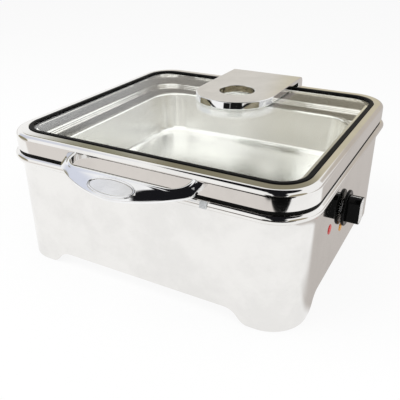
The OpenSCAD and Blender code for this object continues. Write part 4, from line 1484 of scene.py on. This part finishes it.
@dataclass(frozen=True)
class Zone:
    """A soft round patch of the surroundings that polished metal mirrors, its angles in degrees."""

    bearing: float
    height: float
    inner: float
    outer: float
    colour: Colour
    seen: Seen = Seen.ANYHOW

    def towards(self) -> Triple:
        """Give the direction of the patch's middle; bearings run from behind the object to its right."""
        turn, rise = math.radians(self.bearing), math.radians(self.height)
        return math.sin(turn) * math.cos(rise), math.cos(turn) * math.cos(rise), math.sin(rise)


BLACK: Colour = (0.010, 0.010, 0.010)
BLUE_BLACK: Colour = (0.010, 0.010, 0.012)
ZONES = (
    Zone(8.0, 8.0, 16.0, 22.0, (0.55, 0.50, 0.45)),
    Zone(-23.0, 15.0, 8.0, 13.0, (0.68, 0.65, 0.60)),
    Zone(-10.0, 19.0, 8.0, 12.0, (0.60, 0.55, 0.42)),
    Zone(-43.0, 30.0, 8.5, 12.0, (0.25, 0.24, 0.16)),
    Zone(-31.0, 31.0, 7.5, 11.0, (0.24, 0.22, 0.15)),
    Zone(-20.0, 33.0, 7.5, 11.0, (0.26, 0.24, 0.17)),
    Zone(-27.0, 25.0, 10.0, 20.0, (0.30, 0.28, 0.24), Seen.THROUGH_GLASS),
    Zone(-96.0, 34.0, 13.0, 27.0, (0.70, 0.73, 0.83)),
    Zone(-110.0, 3.0, 20.0, 26.0, (0.30, 0.27, 0.18)),
    Zone(110.0, 3.0, 20.0, 26.0, (0.33, 0.29, 0.20)),
    Zone(152.0, 84.0, 31.5, 34.5, BLUE_BLACK, Seen.IN_THE_OPEN),
    Zone(180.0, 2.0, 8.0, 10.0, BLACK, Seen.IN_THE_OPEN),
    Zone(154.0, 0.0, 15.0, 18.0, BLACK, Seen.IN_THE_OPEN),
    Zone(152.0, 24.0, 16.0, 20.0, BLUE_BLACK, Seen.IN_THE_OPEN),
    Zone(158.0, 48.0, 16.0, 22.0, BLUE_BLACK, Seen.IN_THE_OPEN),
)


@dataclass
class Studio:
    """The floor and lights, in metres, the surroundings, and the camera, in millimetres and degrees."""

    centre: Vector
    zones: tuple[Zone, ...] = ZONES
    ambient: float = 0.55
    floor_size: float = 6.0
    floor_glow: float = 0.87
    floor_roughness: float = 0.7
    glass_loss: float = 0.45
    grey: Colour = (0.58, 0.545, 0.52)
    grey_slope: float = -0.262
    grey_right: Point = (0.325, 0.225)
    grey_left: Point = (0.13, 0.17)
    grey_front: Point = (-0.125, -0.10)
    grey_rear: Point = (0.30, 0.42)
    pale: Colour = (0.75, 0.715, 0.69)
    pale_rear: Point = (-0.40, -0.46)
    dark: Colour = (0.004, 0.004, 0.004)
    dark_discs: tuple[tuple[Point, float], ...] = (
        ((0.529, -0.784), 0.420),
        ((0.200, -1.025), 0.505),
        ((1.400, -2.300), 1.500),
    )
    dark_blur: float = 0.004
    azimuth: float = 28.60
    elevation: float = 27.44
    roll: float = -0.255
    look_at: Triple = (-3.86, -26.47, 55.48)
    distance: float = 806.35
    lens: float = 48.26
    sensor: float = 36.0
    aim: Triple = (0.0, 0.0, 0.1)

    def build(self) -> None:
        """Set up everything that isn't the object."""
        self.build_camera()
        self.build_floor()
        self.build_world()
        self.build_lamp("key", spot=(-0.9, -0.7, 1.5), size=1.4, power=16.0)
        self.build_lamp("fill", spot=(1.3, -0.2, 1.2), size=1.2, power=8.0)
        bpy.context.scene.view_settings.view_transform = "Standard"

    def build_camera(self) -> None:
        """Stand the camera in front of the object, to its right and above it."""
        turn, rise, tip = (math.radians(angle) for angle in (self.azimuth, self.elevation, self.roll))
        back = Vector((math.sin(turn) * math.cos(rise), -math.cos(turn) * math.cos(rise), math.sin(rise)))
        level = Vector((math.cos(turn), math.sin(turn), 0))
        up = back.cross(level)
        right = level * math.cos(tip) + up * math.sin(tip)
        over = -level * math.sin(tip) + up * math.cos(tip)
        data = bpy.data.cameras.new("camera")
        data.lens = self.lens
        data.sensor_width = self.sensor
        data.sensor_fit = "AUTO"
        camera = put_in_scene("camera", data)
        spot = self.centre + (Vector(self.look_at) + back * self.distance) * MM
        camera.matrix_world = Matrix.Translation(spot) @ Matrix((right, over, back)).transposed().to_4x4()
        bpy.context.scene.camera = camera

    def build_floor(self) -> None:
        """Lay a pale floor that keeps the object's shadow."""
        bm = bmesh.new()
        bmesh.ops.create_grid(bm, x_segments=1, y_segments=1, size=self.floor_size)
        mesh = bpy.data.meshes.new("floor")
        bm.to_mesh(mesh)
        bm.free()
        material = new_material("pale floor")
        tree = material.node_tree
        path = add_node(tree, "LightPath")
        by_metal = reckon(tree, "SUBTRACT", path["Is Glossy Ray"], path["Is Transmission Ray"])
        colour = self.floor_colour(tree, reckon(tree, "MAXIMUM", by_metal, 0.0))
        shader = tree.nodes["Principled BSDF"]
        plain = {"Base Color": colour, "Roughness": self.floor_roughness, "Specular IOR Level": 0.0}
        feed(tree, shader, plain)
        glow = add_node(tree, "Emission", {"Color": colour})["Emission"]
        shown = reckon(tree, "MAXIMUM", path["Is Camera Ray"], path["Is Glossy Ray"])
        shown = reckon(tree, "MAXIMUM", shown, path["Is Transmission Ray"])
        share = reckon(tree, "MULTIPLY", shown, self.floor_glow)
        surface = mixed(tree, shader.outputs["BSDF"], share, glow)
        feed(tree, tree.nodes["Material Output"], {"Surface": surface})
        mesh.materials.append(material)
        put_in_scene("floor", mesh)

    def floor_colour(self, tree: Tree, by_metal: Socket) -> Socket:
        """Colour the floor: white to the eye, with grey and dark tones where metal mirrors it.

        Args:
            tree: The floor's node tree.
            by_metal: 1 for a ray that metal mirrored.

        Returns:
            The floor's colour.
        """
        where = add_node(tree, "TexCoord")["Object"]
        split = add_node(tree, "SeparateXYZ", {"Vector": where})
        x, y = split["X"], split["Y"]
        grey = soft_step(tree, reckon(tree, "MULTIPLY_ADD", y, self.grey_slope, x), *self.grey_right)
        grey = reckon(tree, "MULTIPLY", grey, soft_step(tree, x, *self.grey_left))
        grey = reckon(tree, "MULTIPLY", grey, soft_step(tree, y, *self.grey_front))
        grey = reckon(tree, "MAXIMUM", grey, soft_step(tree, y, *self.grey_rear))
        patches = [(grey, self.grey), (soft_step(tree, y, *self.pale_rear), self.pale)]
        for (spot_x, spot_y), radius in self.dark_discs:
            away = away_from(tree, where, (spot_x, spot_y, 0.0))
            inside = soft_step(tree, away, radius + self.dark_blur, radius - self.dark_blur)
            patches.append((inside, self.dark))
        colour: Socket | Opaque = WHITE
        for share, over in patches:
            colour = tinted(tree, colour, reckon(tree, "MULTIPLY", share, by_metal), over)
        return colour

    def build_world(self) -> None:
        """Surround the object with a white background, and let polished metal mirror a studio in it."""
        world = bpy.data.worlds.new("studio")
        bpy.context.scene.world = world
        world.use_nodes = True
        tree = world.node_tree
        ground = tree.nodes["Background"]
        feed(tree, ground, {"Color": WHITE, "Strength": self.ambient})
        where = add_node(tree, "TexCoord")["Generated"]
        path = add_node(tree, "LightPath")
        through_glass = reckon(tree, "MAXIMUM", path["Is Transmission Ray"], leaving_pan(tree, path))
        shown = {
            Seen.IN_THE_OPEN: reckon(tree, "SUBTRACT", 1.0, through_glass),
            Seen.THROUGH_GLASS: through_glass,
        }
        colour: Socket | Opaque = WHITE
        for zone in self.zones:
            towards = {0: where, 1: zone.towards()}
            near = add_node(tree, "VectorMath", towards, operation="DOT_PRODUCT")["Value"]
            edges = (math.cos(math.radians(angle)) for angle in (zone.outer, zone.inner))
            share = soft_step(tree, near, *edges)
            if zone.seen in shown:
                share = reckon(tree, "MULTIPLY", share, shown[zone.seen])
            colour = tinted(tree, colour, share, zone.colour)
        strength = reckon(tree, "MULTIPLY_ADD", through_glass, self.glass_loss, 1.0)
        mirrored = add_node(tree, "Background", {"Color": colour, "Strength": strength})["Background"]
        white = add_node(tree, "Background", {"Color": WHITE})["Background"]
        seen = reckon(tree, "MAXIMUM", path["Is Camera Ray"], through_glass)
        by_metal = reckon(tree, "MINIMUM", path["Glossy Depth"], 1.0)
        by_metal = reckon(tree, "SUBTRACT", by_metal, path["Is Diffuse Ray"])
        by_metal = reckon(tree, "MAXIMUM", by_metal, 0.0)
        surface = mixed(tree, ground.outputs["Background"], seen, white)
        surface = mixed(tree, surface, by_metal, mirrored)
        feed(tree, tree.nodes["World Output"], {"Surface": surface})

    def build_lamp(self, name: str, spot: Triple, size: float, power: float) -> None:
        """Hang one broad soft lamp that looks at the object.

        Args:
            name: The lamp's name.
            spot: Its place.
            size: The length of its sides.
            power: Its power in watts.
        """
        data = bpy.data.lights.new(name, "AREA")
        data.size = size
        data.energy = power
        lamp = put_in_scene(name, data)
        lamp.visible_glossy = False
        lamp.visible_transmission = False
        look = Vector(self.aim) - Vector(spot)
        lamp.matrix_world = Matrix.Translation(spot) @ look.to_track_quat("-Z", "Y").to_matrix().to_4x4()


def dress_solids(frame: dict, finishes: dict[str, Material]) -> None:
    """Give every solid of the part the finish of its material slot.

    Args:
        frame: The loaded frame.
        finishes: The materials by slot name.
    """
    for entry in frame["record"]["subparts"]:
        solid = frame["nodes"][entry["node"]]
        solid.data.materials.clear()
        solid.data.materials.append(finishes[entry["material_slot"]])


def main() -> None:
    """Build the looks of the whole object."""
    logging.basicConfig(level=logging.INFO, format="%(name)s: %(message)s")
    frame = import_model()
    low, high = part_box("lid_frame")
    centre = Vector(((low.x + high.x) / 2, (low.y + high.y) / 2, 0.0))
    group = surface_group()
    finishes = {finish.name: finish.make(group) for finish in FINISHES}
    finishes["glass"] = GlassFinish().make()
    dress_solids(frame, finishes)
    shop = Workshop(centre, finishes)
    for assembly in (Housing(), Pans(), Lid(), HingeTongue(), Handle(), Controls()):
        assembly.build(shop)
    Studio(centre).build()


if __name__ == "__main__":
    main()
